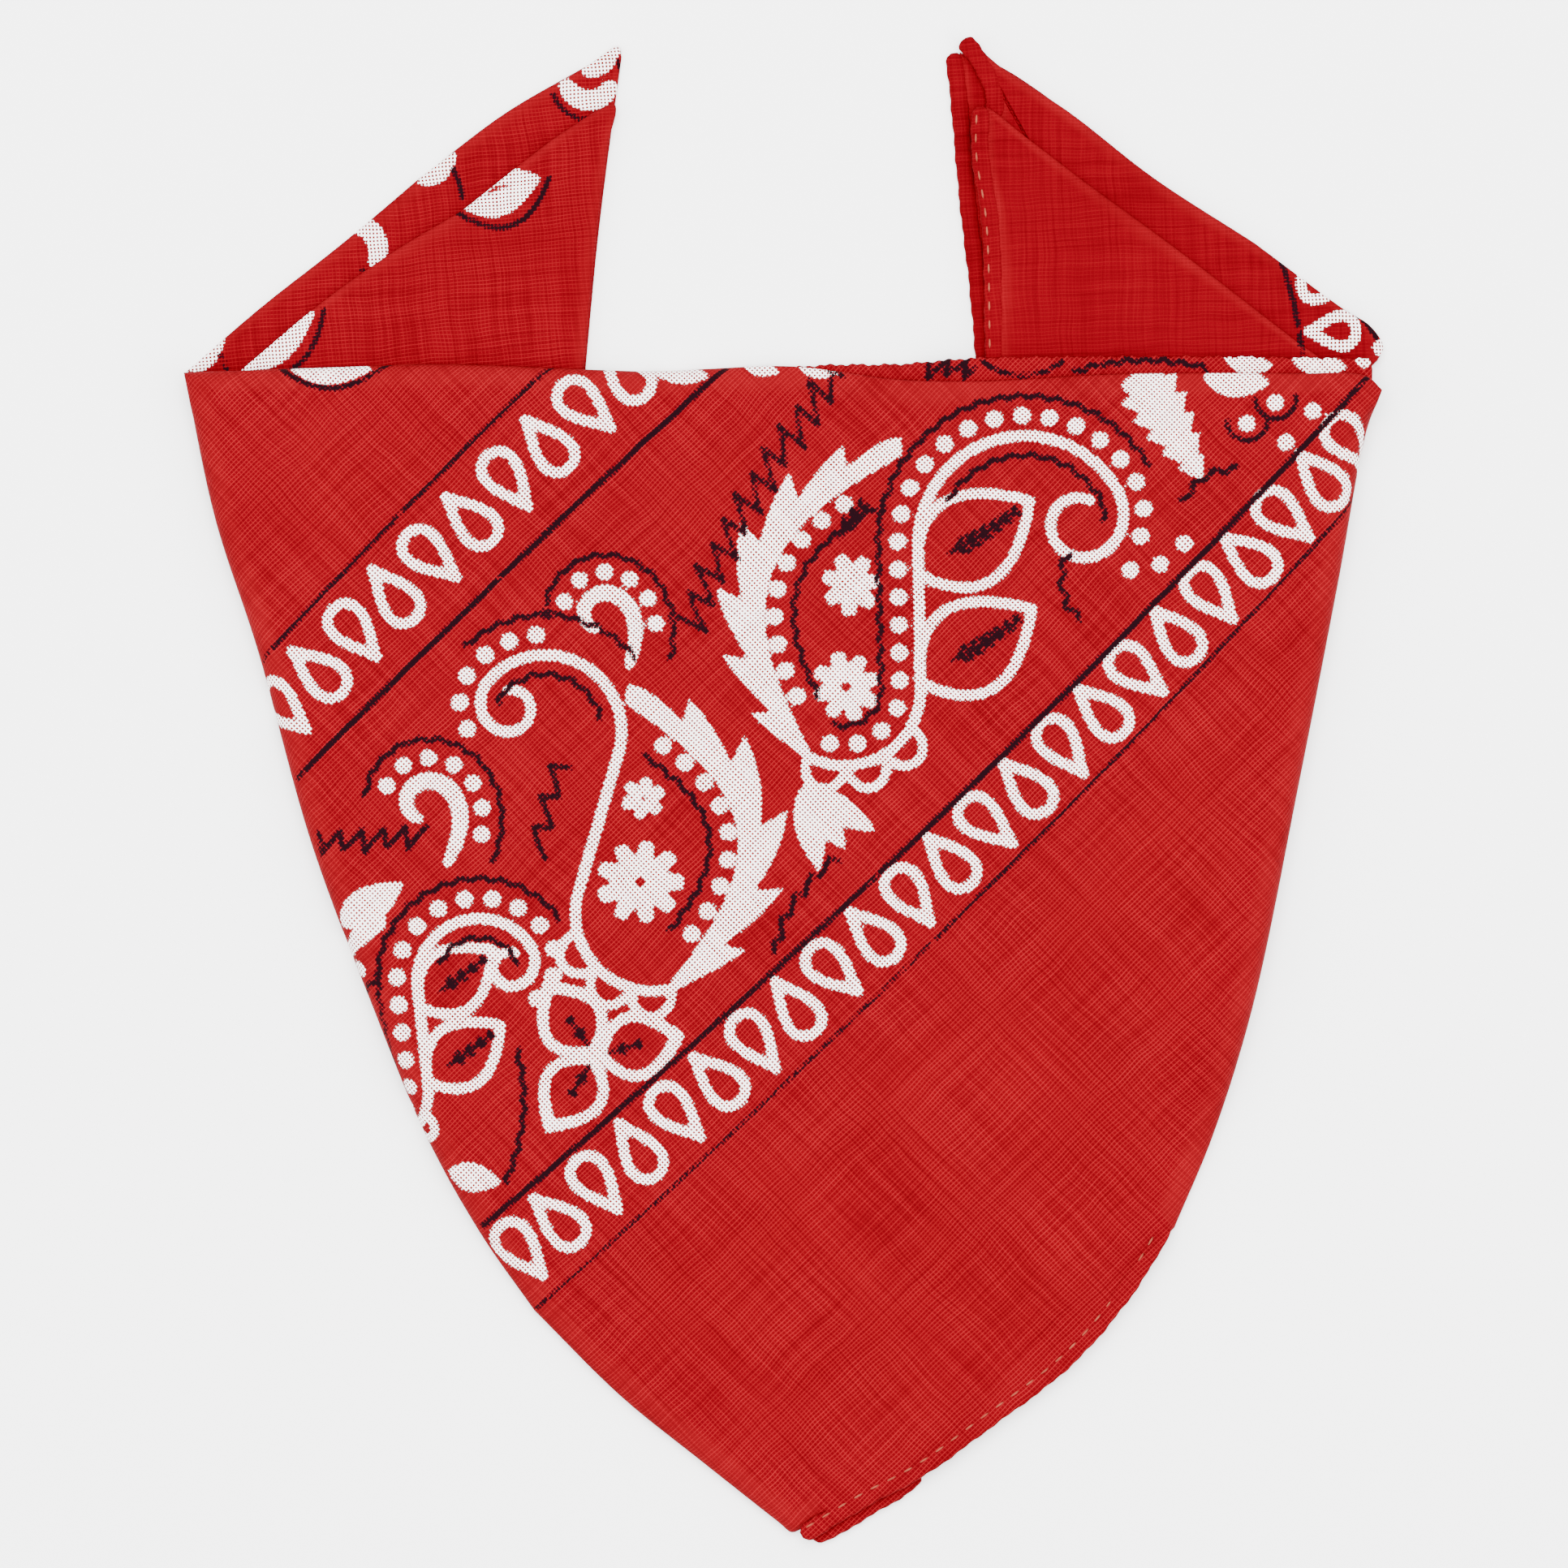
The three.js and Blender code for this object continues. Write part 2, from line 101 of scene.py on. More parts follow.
def run_of(line):
    """How far along a line each of its points lies."""
    return np.concatenate([[0], np.cumsum(np.hypot(*np.diff(line, axis=0).T))])


def smooth_line(rows, count):
    """Evenly spaced points, count + 1 of them, along a smooth line through the rows."""
    rows = np.array(rows, float)
    ends = np.vstack([2 * rows[0] - rows[1], rows, 2 * rows[-1] - rows[-2]])
    share = np.linspace(0, 1, 24, endpoint=False)[:, None]
    parts = []
    for a, b, c, d in zip(ends, ends[1:], ends[2:], ends[3:]):
        ab, bc, cd = (max(np.hypot(*(q - p)), 1e-6) ** 0.5 for p, q in ((a, b), (b, c), (c, d)))
        leave = (b - a) / ab - (c - a) / (ab + bc) + (c - b) / bc
        arrive = (c - b) / bc - (d - b) / (bc + cd) + (d - c) / cd
        leave, arrive = leave * bc, arrive * bc
        parts.append(
            b + leave * share + (3 * (c - b) - 2 * leave - arrive) * share**2
            + (2 * (b - c) + leave + arrive) * share**3
        )
    line = np.vstack([*parts, rows[-1:]])
    run = run_of(line)
    places = np.linspace(0, run[-1], count + 1)
    return np.column_stack([np.interp(places, run, line[:, 0]), np.interp(places, run, line[:, 1])])


def outline(sides, cells):
    """The points round a closed outline, as many on each of its sides as there are cells."""
    return np.vstack([smooth_line(side, cells)[:-1] for side in sides])


def beside(rows, distance):
    """The rows moved to the left of the way they run."""
    rows = np.array(rows, float)
    way = np.gradient(rows, axis=0)
    way /= np.hypot(*way.T)[:, None]
    return rows + np.column_stack([-way[:, 1], way[:, 0]]) * np.reshape(distance, (-1, 1))


# The turned-back ends under the front: how far down each reaches, the x of its inner and of its outer edge
# at the long fold, and the x where the two edges meet
FLAPS = {"left": (155.5, -32.8, -99.2, -41.3), "right": (137.0, 31.9, 99.2, 65.0)}
FLAP_EASE = 16.0


def flap_share(side, x, y):
    """How fully the front lies over a turned-back end: 1 on it, less where it slopes down beside it."""
    depth, inner, outer, meet = FLAPS[side]
    down = (TOP - y) / depth
    over = (x - mix(inner, meet, down)) * math.copysign(1, outer)
    wide = np.abs(mix(outer, meet, down) - mix(inner, meet, down))
    return ease((over + FLAP_EASE) / FLAP_EASE) * ease(wide / FLAP_EASE)


def front_top(x, y):
    """Height of the front cloth: eight layers on the table, and as many again over each turned-back end."""
    swell = SWELL * np.sin((x + 0.6 * y) / 21) * np.cos((y - 0.4 * x) / 33)
    left = LEFT_TAIL_TOP * flap_share("left", x, y)
    right = (RIGHT_TAIL_TOP - GAP / 2) * flap_share("right", x, y)
    return MIDDLE_TOP + left + right + swell


# Soft creases that the folded cloth keeps: where each runs, its half width and its depth
CREASES = [
    ((-88, 40), (-50, 60), 3.0, 0.22), ((-70, -20), (-30, 4), 4.0, 0.18), ((-48, -62), (-8, -40), 3.5, 0.24),
    ((-30, -90), (8, -70), 4.5, 0.30), ((-6, -112), (22, -78), 3.6, 0.26), ((28, -96), (58, -58), 4.0, 0.30),
    ((40, -60), (74, -20), 5.0, 0.22), ((60, -10), (88, 22), 3.6, 0.24), ((-96, 60), (-60, 52), 3.2, -0.20),
    ((-18, 66), (22, 58), 3.0, -0.18), ((30, 64), (78, 62), 2.6, -0.22), ((10, -60), (48, -76), 5.0, -0.26),
    ((-62, -44), (-40, -70), 3.8, -0.22), ((70, -46), (80, -4), 3.4, -0.26),
]


def creased(x, y):
    """Soft uneven troughs, or ridges where the depth is negative, that fade out at both ends."""
    height = np.zeros_like(x)
    for (ax, ay), (bx, by), width, depth in CREASES:
        run = math.hypot(bx - ax, by - ay)
        along = ((x - ax) * (bx - ax) + (y - ay) * (by - ay)) / run
        across = ((x - ax) * (by - ay) - (y - ay) * (bx - ax)) / run + 1.6 * np.sin(along / 7 + ax)
        fade = ease(along / (0.35 * run)) * ease((run - along) / (0.35 * run))
        height -= depth * fade * np.exp(-((across / width) ** 2))
    return height


def fine_top(x, y):
    """The front cloth's height with its creases."""
    return front_top(x, y) + creased(x, y)


def square_places(grid):
    """Each grid point's share of the way out from the middle, and its place round the four sides."""
    u, v = grid[:, 0], grid[:, 1]
    out = np.maximum(np.abs(u), np.abs(v))
    safe = np.where(out > 1e-6, out, 1)
    u, v = u / safe, v / safe
    right = (np.abs(u - 1) < 1e-5) & (v < 1 - 1e-5)
    top = (np.abs(v - 1) < 1e-5) & (u > -1 + 1e-5)
    left = (np.abs(u + 1) < 1e-5) & (v > -1 + 1e-5)
    places = [(v + 1) / 2, 1 + (1 - u) / 2, 2 + (1 - v) / 2]
    return out, np.select([right, top, left], places, 3 + (u + 1) / 2) % 4


def edge_frame(edge, middle):
    """The way in from each edge point to the middle, how far that is, and how fast it leaves the edge."""
    way = np.array(middle, float) - edge
    reach = np.hypot(*way.T)
    way /= reach[:, None]
    run = np.roll(edge, -1, axis=0) - np.roll(edge, 1, axis=0)
    run /= np.hypot(*run.T)[:, None]
    square = -run[:, 1] * way[:, 0] + run[:, 0] * way[:, 1]
    return way, reach, 1 / np.maximum(square, 0.45)


def cloth_sheet(name, sides, middle, cells, top, section, unworn=0):
    """One stretch of cloth: a grid drawn out to four sides, carried over its edge by rings and closed below.

    section lists the rings from the grid's own border on: how far in from the edge, as millimetres and as a
    share of the way to the middle, and the height there. The flat attribute is each point's place on the
    cloth, and unworn is how far a side that is not a fold counts as lying in from the edge.
    """
    edge = outline(sides, cells)
    way, reach, pace = edge_frame(edge, middle)
    rings = []
    for inset, share, height in section:
        go = np.maximum(np.asarray(inset) * pace, share * reach)
        place = edge + way * go[:, None]
        rings.append(np.column_stack([place, height(place[:, 0], place[:, 1])]))
    form = bmesh.new()
    bmesh.ops.create_grid(form, x_segments=cells, y_segments=cells, size=1)
    grid = np.array([v.co[:2] for v in form.verts])
    out, place = square_places(grid)
    spot = np.round(place * cells).astype(int) % len(edge)
    low = np.floor(place * cells).astype(int) % len(edge)
    border = mix(rings[0][low, :2], rings[0][(low + 1) % len(edge), :2], (place * cells % 1)[:, None])
    flat = np.array(middle) + (border - np.array(middle)) * out[:, None]
    layer = form.verts.layers.int.new("spot")
    xs, ys = flat.T
    for vert, x, y, z, where in zip(form.verts, xs, ys, top(xs, ys), spot):
        vert.co = (x * MM, y * MM, z * MM)
        vert[layer] = int(where)
    places = [flat]
    unworn = np.zeros(len(edge)) + unworn
    inward = [(1 - out) * np.hypot(*(border - np.array(middle)).T) + unworn[spot]]
    loop = [e for e in form.edges if e.is_boundary]
    travelled = np.zeros(len(edge))
    for before, ring in zip(rings, rings[1:]):
        travelled += np.linalg.norm(ring - before, axis=1)
        grown = bmesh.ops.extrude_edge_only(form, edges=loop)["geom"]
        verts = [g for g in grown if isinstance(g, bmesh.types.BMVert)]
        loop = [g for g in grown if isinstance(g, bmesh.types.BMEdge)]
        where = np.array([v[layer] for v in verts])
        for vert, (x, y, z) in zip(verts, ring[where]):
            vert.co = (x * MM, y * MM, z * MM)
        places.append((rings[0][:, :2] - way * travelled[:, None])[where])
        inward.append(unworn[where])
    bmesh.ops.holes_fill(form, edges=loop, sides=0)
    bmesh.ops.triangulate(form, faces=[f for f in form.faces if len(f.verts) > 4])
    bmesh.ops.recalc_face_normals(form, faces=form.faces)
    return finished_mesh(form, name, np.vstack(places), np.concatenate(inward))


def finished_mesh(form, name, flat, inward):
    """Makes the object, and keeps each point's place on the cloth and how far in from a fold it lies."""
    mesh = bpy.data.meshes.new(name)
    form.to_mesh(mesh)
    form.free()
    mesh.shade_smooth()
    attribute = mesh.attributes.new("flat", "FLOAT_VECTOR", "POINT")
    attribute.data.foreach_set("vector", np.column_stack([flat, np.zeros(len(flat))]).ravel())
    mesh.attributes.new("inward", "FLOAT", "POINT").data.foreach_set("value", inward)
    piece = bpy.data.objects.new(name, mesh)
    bpy.context.scene.collection.objects.link(piece)
    return piece


# A rolled fold is fullest this share of the way up, and its inner face lies this far inside its outer one
FULLEST = 0.42
LIP = 0.05


def rolled_up(turn):
    """How high up a roll lies at a turn. It is fullest a little below its middle."""
    return FULLEST + (1 - FULLEST if turn > 0 else FULLEST) * math.sin(turn)


def fold_rings(low, top, roll, thickness):
    """Rings of a fold that rolls over and ends in a lip: round outside, then round inside, one cloth in."""
    rings = []
    for turn in np.radians([90, 72, 54, 36, 18, 0, -25, -55, -90]):
        rings.append((
            roll * (1 - math.cos(turn)), 0,
            lambda x, y, up=rolled_up(turn): mix(low(x, y), top(x, y), up),
        ))
    for turn in np.radians([-80, -30, 20, 60, 90]):
        rings.append((
            thickness + roll * (1 - math.cos(turn)), 0,
            lambda x, y, up=rolled_up(turn): mix(low(x, y) + LIP, top(x, y) - thickness, up),
        ))
    for share in (0.08, 0.18, 0.3, 0.42, 0.55, 0.68, 0.8, 0.9):
        rings.append((0, share, lambda x, y: top(x, y) - thickness - 3 * LIP))
    return rings


PLEAT_START = 20.0
PLEAT_RAMP = 11.0


def pleat_climb(x):
    """How far the pleat has climbed from the table onto the right tail."""
    return ease((x - PLEAT_START) / PLEAT_RAMP)


def pleat_low(x):
    return (RIGHT_TAIL_TOP + GAP) * pleat_climb(x)


def pleat_high(x):
    return pleat_low(x) + mix(1.9, 1.2, pleat_climb(x))


def fold_low(x, y):
    """How low the front rolls at the long fold: onto the table, onto the left tail or onto the pleat."""
    left = (LEFT_TAIL_TOP + GAP) * ease((-24 - x) / 7)
    right = (pleat_high(x + 1) + GAP) * ease((x + 10) / 7)
    return np.where(x < -20, left, right) * ease((y - 62) / 3.5)


MIDDLE = (2.0, 4.0)
FRONT_CELLS = 256
FOLDED_SHARE = 0.42
UNWORN = 9.0
hem_narrowing = mix(HEM_END, 1, ease(np.linspace(8.2, 0, 25)))
hem_seat = beside(smooth_line(FRONT_HEM, 24), HEM_WIDTH * hem_narrowing - HEM_COVER)
lower_side = np.vstack([smooth_line(LOWER_FOLD, 24), hem_seat])
front_sides = [RIGHT_FOLD, TOP_FOLD, LEFT_FOLD, lower_side]
front_edge = outline(front_sides, FRONT_CELLS)
hem_start = 3 * FRONT_CELLS + int(FRONT_CELLS * FOLDED_SHARE)
on_hem = ease((np.arange(len(front_edge)) - hem_start - 6) / 8)
front_roll = mix(SIDE_ROLL, 0.25, on_hem)


def front_low(x, y):
    """Open at the hem, with the lower edge one cloth under the face, and rolled down elsewhere."""
    return mix(fold_low(x, y), fine_top(x, y) - CLOTH, on_hem)


front_cloth = cloth_sheet(
    "front_cloth", front_sides, MIDDLE, FRONT_CELLS, fine_top,
    fold_rings(front_low, fine_top, front_roll, CLOTH), unworn=UNWORN * on_hem,
)


# What is printed. The border of drops between two navy rules, and the curling pears, leaves, sprigs and
# flowers inside it, are the common stock of bandana prints. Each motif has one rule here, the same wherever
# it comes again, and is set down by its place, its size and its tilt.
STROKES = []
FILLS = []
OUTLINE = 1.5
NAVY_LINE = 0.8
BEAD = 1.3
BEAD_PITCH = 4.6


def pen(x, y, heading, *moves, step=0.7):
    """A line that sets out at a heading. Each move has a length and a bend, in degrees a millimetre, that
    changes steadily from its start to its end."""
    points = [(x, y)]
    for length, bend, last_bend in moves:
        count = max(round(length / step), 3)
        stride = length / count
        for k in range(count):
            turn = mix(bend, last_bend, (k + 0.5) / count) * stride
            heading += turn / 2
            x += math.cos(math.radians(heading)) * stride
            y += math.sin(math.radians(heading)) * stride
            heading += turn / 2
            points.append((x, y))
    return np.array(points)


def placed(along, across, x, y, heading):
    """Points given along and across a motif's own axis, set down on the cloth."""
    c, s = math.cos(math.radians(heading)), math.sin(math.radians(heading))
    return np.column_stack([x + along * c - across * s, y + along * s + across * c])


def bow(start, end, sag):
    """A line from start to end that bows out to its left by the sag."""
    (ax, ay), (bx, by) = start, end
    share = np.linspace(0, 1, 31)
    along = share * math.hypot(bx - ax, by - ay)
    return placed(along, 4 * sag * share * (1 - share), ax, ay, math.degrees(math.atan2(by - ay, bx - ax)))


def part_of(line, start, stop):
    """The stretch of a line between two shares of its length."""
    run = run_of(line) / run_of(line)[-1]
    places = np.linspace(start, stop, max(round(run_of(line)[-1] * (stop - start) / 0.7), 4))
    return np.column_stack([np.interp(places, run, line[:, k]) for k in (0, 1)])


def spot_on(line, share):
    """A place on a line, and the line's heading there."""
    (ax, ay), (bx, by) = part_of(line, max(share - 0.01, 0), min(share + 0.01, 1))[[0, -1]]
    return (ax + bx) / 2, (ay + by) / 2, math.degrees(math.atan2(by - ay, bx - ax))


def stroke(ink, line, width, taper=0.0):
    """An inked line. Its width swells in the middle and thins towards both ends by the taper's share."""
    share = np.linspace(0, 1, len(line))
    swell = 1 - taper * (1 - np.sin(math.pi * share) ** 0.5)
    STROKES.append((ink, np.asarray(line), width / 2 * swell))


def fill(ink, shape):
    """A shape filled with ink. Bare takes the white ink away again."""
    FILLS.append((ink, np.asarray(shape)))


def dot(ink, x, y, radius):
    """A round spot, as a very short stroke."""
    stroke(ink, np.array([(x - 0.05, y), (x + 0.05, y)]), 2 * radius)


def dots(ink, line, offset, pitch, radius, start, stop):
    """A row of round spots beside a line."""
    line = part_of(beside(line, offset), start, stop)
    run = run_of(line)
    for place in np.arange(pitch / 2, run[-1], pitch):
        dot(ink, np.interp(place, run, line[:, 0]), np.interp(place, run, line[:, 1]), radius)


def drop(x, y, heading, length, width):
    """A teardrop's outline, its tip towards the heading."""
    turn = np.linspace(0, 2 * math.pi, 33)
    across = 0.62 * width * np.sin(turn) * np.sin(turn / 2) ** 1.6
    return placed(0.5 * length * np.cos(turn), across, x, y, heading)


def two_sided(x, y, heading, along, half):
    """The outline of a shape that is alike on both sides, from its stalk to its tip and back."""
    return np.vstack([placed(along, -half, x, y, heading), placed(along, half, x, y, heading)[::-1]])


def leaf(x, y, heading, length, width):
    """A plain leaf's outline, widest about its middle."""
    share = np.linspace(0, 1, 17)
    half = 0.5 * width * np.sin(math.pi * share**0.85) ** 0.9
    return two_sided(x, y, heading, length * share, half)


def thistle(x, y, heading, length, width, teeth, notch=0.5):
    """A leaf with a row of points down each side, broad near its stalk."""
    share = np.linspace(0, 1, teeth * 6 + 1)
    saw = 1 - notch * ((share * teeth) % 1)
    half = 0.5 * width * np.sin(math.pi * share**0.45) ** 0.6 * saw
    return two_sided(x, y, heading, length * share, half)


def toothed(spine, teeth, depth, side):
    """A crescent along a spine, smooth on one side and toothed like a saw on the other: its left, or with -1
    its right. The teeth grow towards the middle, and each leans on past the foot of the next."""
    spine = part_of(spine, 0, 1)
    share = np.linspace(0, 1, len(spine))
    body = np.sin(math.pi * np.clip(share * 0.97 + 0.015, 0, 1)) ** 0.4
    saw = np.where(share < 1, share * teeth % 1, 1)
    way = np.gradient(spine, axis=0)
    way /= np.hypot(*way.T)[:, None]
    reach = (0.35 * depth + depth * saw**1.3) * body
    points = beside(spine, side * reach) + way * (0.7 * depth * saw**2.5 * body)[:, None]
    return np.vstack([points, beside(spine, -side * 0.4 * depth * body)[::-1]])


def flower(x, y, radius, petals, turn, eye):
    """Blunt petals, some longer than others, about a small bare eye."""
    around = np.linspace(0, 2 * math.pi, petals * 12 + 1)
    reach = radius * (0.82 + 0.2 * np.tanh(2 * np.cos(petals * around) + 0.8) + 0.04 * np.sin(2 * around + x))
    fill("white", placed(reach * np.cos(around), reach * np.sin(around), x, y, turn))
    if eye:
        dot("bare", x, y, eye)


def ripple(line, swing=0.3, pitch=3.3, lean=0.0, width=0.85):
    """A wavy navy line. Lean slants its waves into a zigzag's teeth."""
    run = run_of(line)
    fine = np.arange(0, run[-1], pitch / 12)
    middle = np.column_stack([np.interp(fine, run, line[:, k]) for k in (0, 1)])
    wave = np.abs((fine / pitch) % 1 * 2 - 1) * 2 - 1 if lean else np.cos(2 * math.pi * fine / pitch)
    way = np.gradient(middle, axis=0)
    way /= np.hypot(*way.T)[:, None]
    path = beside(middle, swing * wave * (1 + 0.22 * np.sin(0.9 * fine)))
    stroke("navy", path + way * (lean * wave)[:, None], width)


def sprig(x, y, heading, length, bend=-1.6, barb=2.2):
    """A curved stalk with small leaves in pairs, one pair every 2.4 millimetres, smaller towards its tip."""
    stalk = pen(x, y, heading, (length, bend, bend))
    stroke("navy", stalk, 0.75, 0.4)
    pairs = max(round(length / 2.4), 2)
    for k in range(pairs):
        share = (k + 0.7) / pairs
        root_x, root_y, way = spot_on(stalk, share)
        reach = barb * (1.15 - 0.6 * share)
        for side in (-52, 52):
            small = pen(root_x, root_y, way + side, (reach, -0.3 * side, -0.3 * side), step=0.5)
            stroke("navy", small, 0.9, 0.5)


def scallops(line, offset, radius, start, stop):
    """Half rings side by side along a line."""
    line = part_of(line, start, stop)
    run = run_of(line)[-1]
    around = np.radians(np.linspace(0, 180, 13))
    for place in np.arange(radius, run, 2 * radius):
        across = math.copysign(1, offset) * 1.15 * radius * np.sin(around) + offset
        stroke("white", placed(radius * np.cos(around), across, *spot_on(line, place / run)), 1.3)


def pear(x, y, tilt, length, hand, curl, teeth, leaves=0, lined=True):
    """The curling pear. Its stalk rounds the foot, climbs one side, bends over evenly and then tightens to a
    curl, to the left with hand 1 and to the right with -1. Its toothed back swells out on the other side.
    Beads and a rippled line keep to even distances inside it, and leaves stand on its straight side."""
    foot, side, over, tip = 0.4 * length, 0.36 * length, 0.58 * curl * length, 0.42 * curl * length
    stalk = pen(
        x, y, tilt + hand * 110, (foot, -hand * 120 / foot, -hand * 120 / foot), (side, 0, 0),
        (over, hand * 150 / over, hand * 150 / over), (tip, hand * 200 / tip, hand * 460 / tip),
    )
    run = foot + side + over + tip
    stroke("white", stalk, 1.6, 0.1)
    scallops(stalk, hand * 0.5, 0.05 * length, 0.0, 0.75 * foot / run)
    first = 0.0 if lined else (foot + side + 0.3 * over) / run
    last = (foot + side + over) / run
    dots("white", stalk, -hand * 3.4, BEAD_PITCH, BEAD, first, last)
    ripple(beside(part_of(stalk, first + 0.02, last), -hand * 6.6))
    ripple(beside(part_of(stalk, (foot + side + 0.2 * over) / run, last + 0.05), hand * 3.2))
    for k in range(leaves):
        at_x, at_y, way = spot_on(stalk, (foot + (0.05 + 0.75 * k) * side) / run)
        heading = way + hand * 58
        stroke("white", leaf(at_x, at_y, heading, 0.33 * length, 0.23 * length), OUTLINE)
        root = placed(np.array([0.09 * length]), np.zeros(1), at_x, at_y, heading)[0]
        sprig(*root, heading + 6 * hand, 0.2 * length, -hand * 0.8, 0.035 * length)
    neck = part_of(stalk, 0, (foot + side + 0.25 * over) / run)
    top = beside(neck, -hand * (8 if lined else 2))[-1]
    back = bow((x, y), top, -hand * 0.25 * length)
    fill("white", toothed(back, teeth, 0.075 * length, -hand))
    dots("white", back, hand * 3.6, BEAD_PITCH, BEAD, 0.12, 0.84)
    ripple(beside(part_of(back, 0.12, 0.88), hand * 6.8))


def comma(x, y, tilt, length, hand):
    """A small curl, thick in its middle, with beads and a rippled line outside it at even distances."""
    run = 1.6 * length
    curl = pen(x, y, tilt, (run, 0, hand * 560 / run))[::-1]
    stroke("white", curl, 0.16 * length, 0.55)
    dots("white", curl, hand * 0.23 * length, 4.4, 1.25, 0.2, 0.85)
    ripple(beside(part_of(curl, 0.15, 0.9), hand * 0.42 * length), 0.25, 3.4)


def lobed(x, y, heading, length, width, lobes=3, spread=112):
    """A leaf of several lobes: each drawn in outline, a small sprig in it."""
    for k in range(lobes):
        way = heading + (k - (lobes - 1) / 2) * spread
        fill("white", leaf(x, y, way, length, width))
    for k in range(lobes):
        way = heading + (k - (lobes - 1) / 2) * spread
        near_x, near_y = placed(np.array([1.8]), np.zeros(1), x, y, way)[0]
        fill("bare", leaf(near_x, near_y, way, length - 4.2, width - 3.2))
        sprig(near_x, near_y, way, 0.4 * length, 0.6, 1.4)


def tulip(x, y, heading, length, width, petals=3, spread=24):
    """Plain leaves fanned from one root."""
    for k in range(petals):
        way = heading + (k - (petals - 1) / 2) * spread
        fill("white", leaf(x, y, way, length * (1 - 0.12 * (k % 2)), width))


DROP_LENGTH = 10.8
DROP_WIDTH = 6.8


def border(inner, outer, inner_width, outer_width, steps):
    """Drops at even steps between two navy rules. Their tips point in and out by turns."""
    stroke("navy", inner, inner_width)
    stroke("navy", outer, outer_width)
    centres = part_of(mix(inner, outer, 0.45), 0.012, 0.988)
    for k in range(steps + 1):
        x, y, way = spot_on(centres, k / steps)
        tip_way = way + (90 if k % 2 else -90) + 7 * math.sin(k * 1.7)
        stroke("white", drop(x, y, tip_way, DROP_LENGTH, DROP_WIDTH), OUTLINE)


# Two runs of the border cross the front cloth.
border(bow((-49.8, -71.3), (96.4, 69.0), -3.4), bow((-41.0, -85.0), (96.0, 50.5), -3.0), 0.95, 0.55, 22)
border(bow((-38.4, 71.0), (-86.4, 22.2), -0.6), bow((-9.5, 71.0), (-80.6, 2.7), -0.6), 0.7, 0.95, 9)

# Three pears: a large one, one beside it that curls the other way, and one that the left fold cuts off
pear(4.0, 6.5, 81, 66, -1, 1.2, 7, leaves=2)
pear(-18.5, -32.0, 84, 67, 1, 0.85, 6, lined=False)
pear(-71.0, -57.0, 86, 46, -1, 1.0, 5, leaves=2)
comma(-55.5, -11.2, 66, 16.4, 1)
comma(-25.5, 21.5, 74, 15.0, 1)
for x, y, radius, petals, turn, eye in (
    (11.2, 34.9, 4.8, 7, 8, 0.0), (10.4, 18.0, 5.5, 8, 16, 0.9), (-23.2, -0.4, 3.4, 6, 20, 0.5),
    (-23.7, -14.3, 6.8, 9, 0, 0.9),
):
    flower(x, y, radius, petals, turn, eye)
sprig(9.4, 42.5, 62, 7)

# Leaves and small marks between them
lobed(-31.0, -43.0, 125, 15.0, 11.5)
tulip(3.0, 1.2, -54, 14, 4.6)
fill("white", thistle(58.6, 70.2, -60, 21, 10.5, 6))
fill("white", leaf(-73.8, -21.6, 33, 13.0, 6.0))
fill("white", leaf(-55.6, -62.4, -10, 9.0, 4.6))
fill("white", leaf(69.4, 69.2, -6, 11, 5.6))
for x, length in ((-22.0, 10), (-6.5, 6), (2.5, 7)):
    fill("white", leaf(x, 71.3, -12, length, 0.42 * length))
for x, y in ((57.3, 37.2), (62.2, 38.2), (66.2, 41.6), (87.4, 63.5), (83.0, 58.3)):
    dot("white", x, y, 1.25)
for x, y in ((76.5, 61.4), (81.2, 64.9)):
    dot("white", x, y, 1.25)
    stroke("navy", pen(x - 3.3, y + 0.6, -90, (11.0, 17.0, 17.0)), NAVY_LINE)
fill("white", leaf(-82.0, 71.4, -4, 14, 6.0))
stroke("navy", bow((-84.0, 71.4), (-65.5, 71.6), -4.2), NAVY_LINE)
ripple(bow((-15.8, 27.5), (9.5, 70.3), 2.0), 2.6, 4.4, 1.4, 0.75)
ripple(bow((-77.5, -7.9), (-59.5, -6.7), 0.0), 1.7, 3.6, 0.8)
ripple(bow((-36.5, 6.0), (-41.0, -9.0), 0.0), 1.6, 5.2, 1.0)
ripple(bow((-44.0, -42.0), (-46.0, -64.0), 2.0))
ripple(bow((9.5, -10.0), (-1.5, -26.0), -2.0), 0.7, 4.2, 0.5)
ripple(bow((47.0, 40.0), (49.0, 29.0), -2.0), 0.5, 3.6)
ripple(bow((66.0, 48.5), (75.0, 54.0), 1.6), 0.5, 3.6)


# Ink is measured up to NEAR past a motif's box, in millimetres, and FAR stands for all that lies beyond
NEAR = 3.0
FAR = 4.0


def distance_to_line(points, line, half_width):
    """Distance from each point to a line of its own width at each place: negative inside the ink."""
    found = np.full(len(points), FAR)
    for a, b, wa, wb in zip(line, line[1:], half_width, half_width[1:]):
        run = b - a
        share = np.clip(((points - a) @ run) / max(run @ run, 1e-9), 0, 1)
        gap = np.hypot(*(points - a - share[:, None] * run).T) - mix(wa, wb, share)
        np.minimum(found, gap, out=found)
    return found


def distance_to_shape(points, shape):
    """Distance from each point to a filled shape's edge: negative inside it."""
    closed = np.vstack([shape, shape[:1]])
    away = distance_to_line(points, closed, np.zeros(len(closed)))
    inside = np.zeros(len(points), bool)
    x, y = points.T
    for (ax, ay), (bx, by) in zip(closed, closed[1:]):
        if ay != by:
            crossed = ((ay > y) != (by > y)) & (x < (bx - ax) * (y - ay) / (by - ay) + ax)
            inside ^= crossed
    return np.where(inside, -away, away)


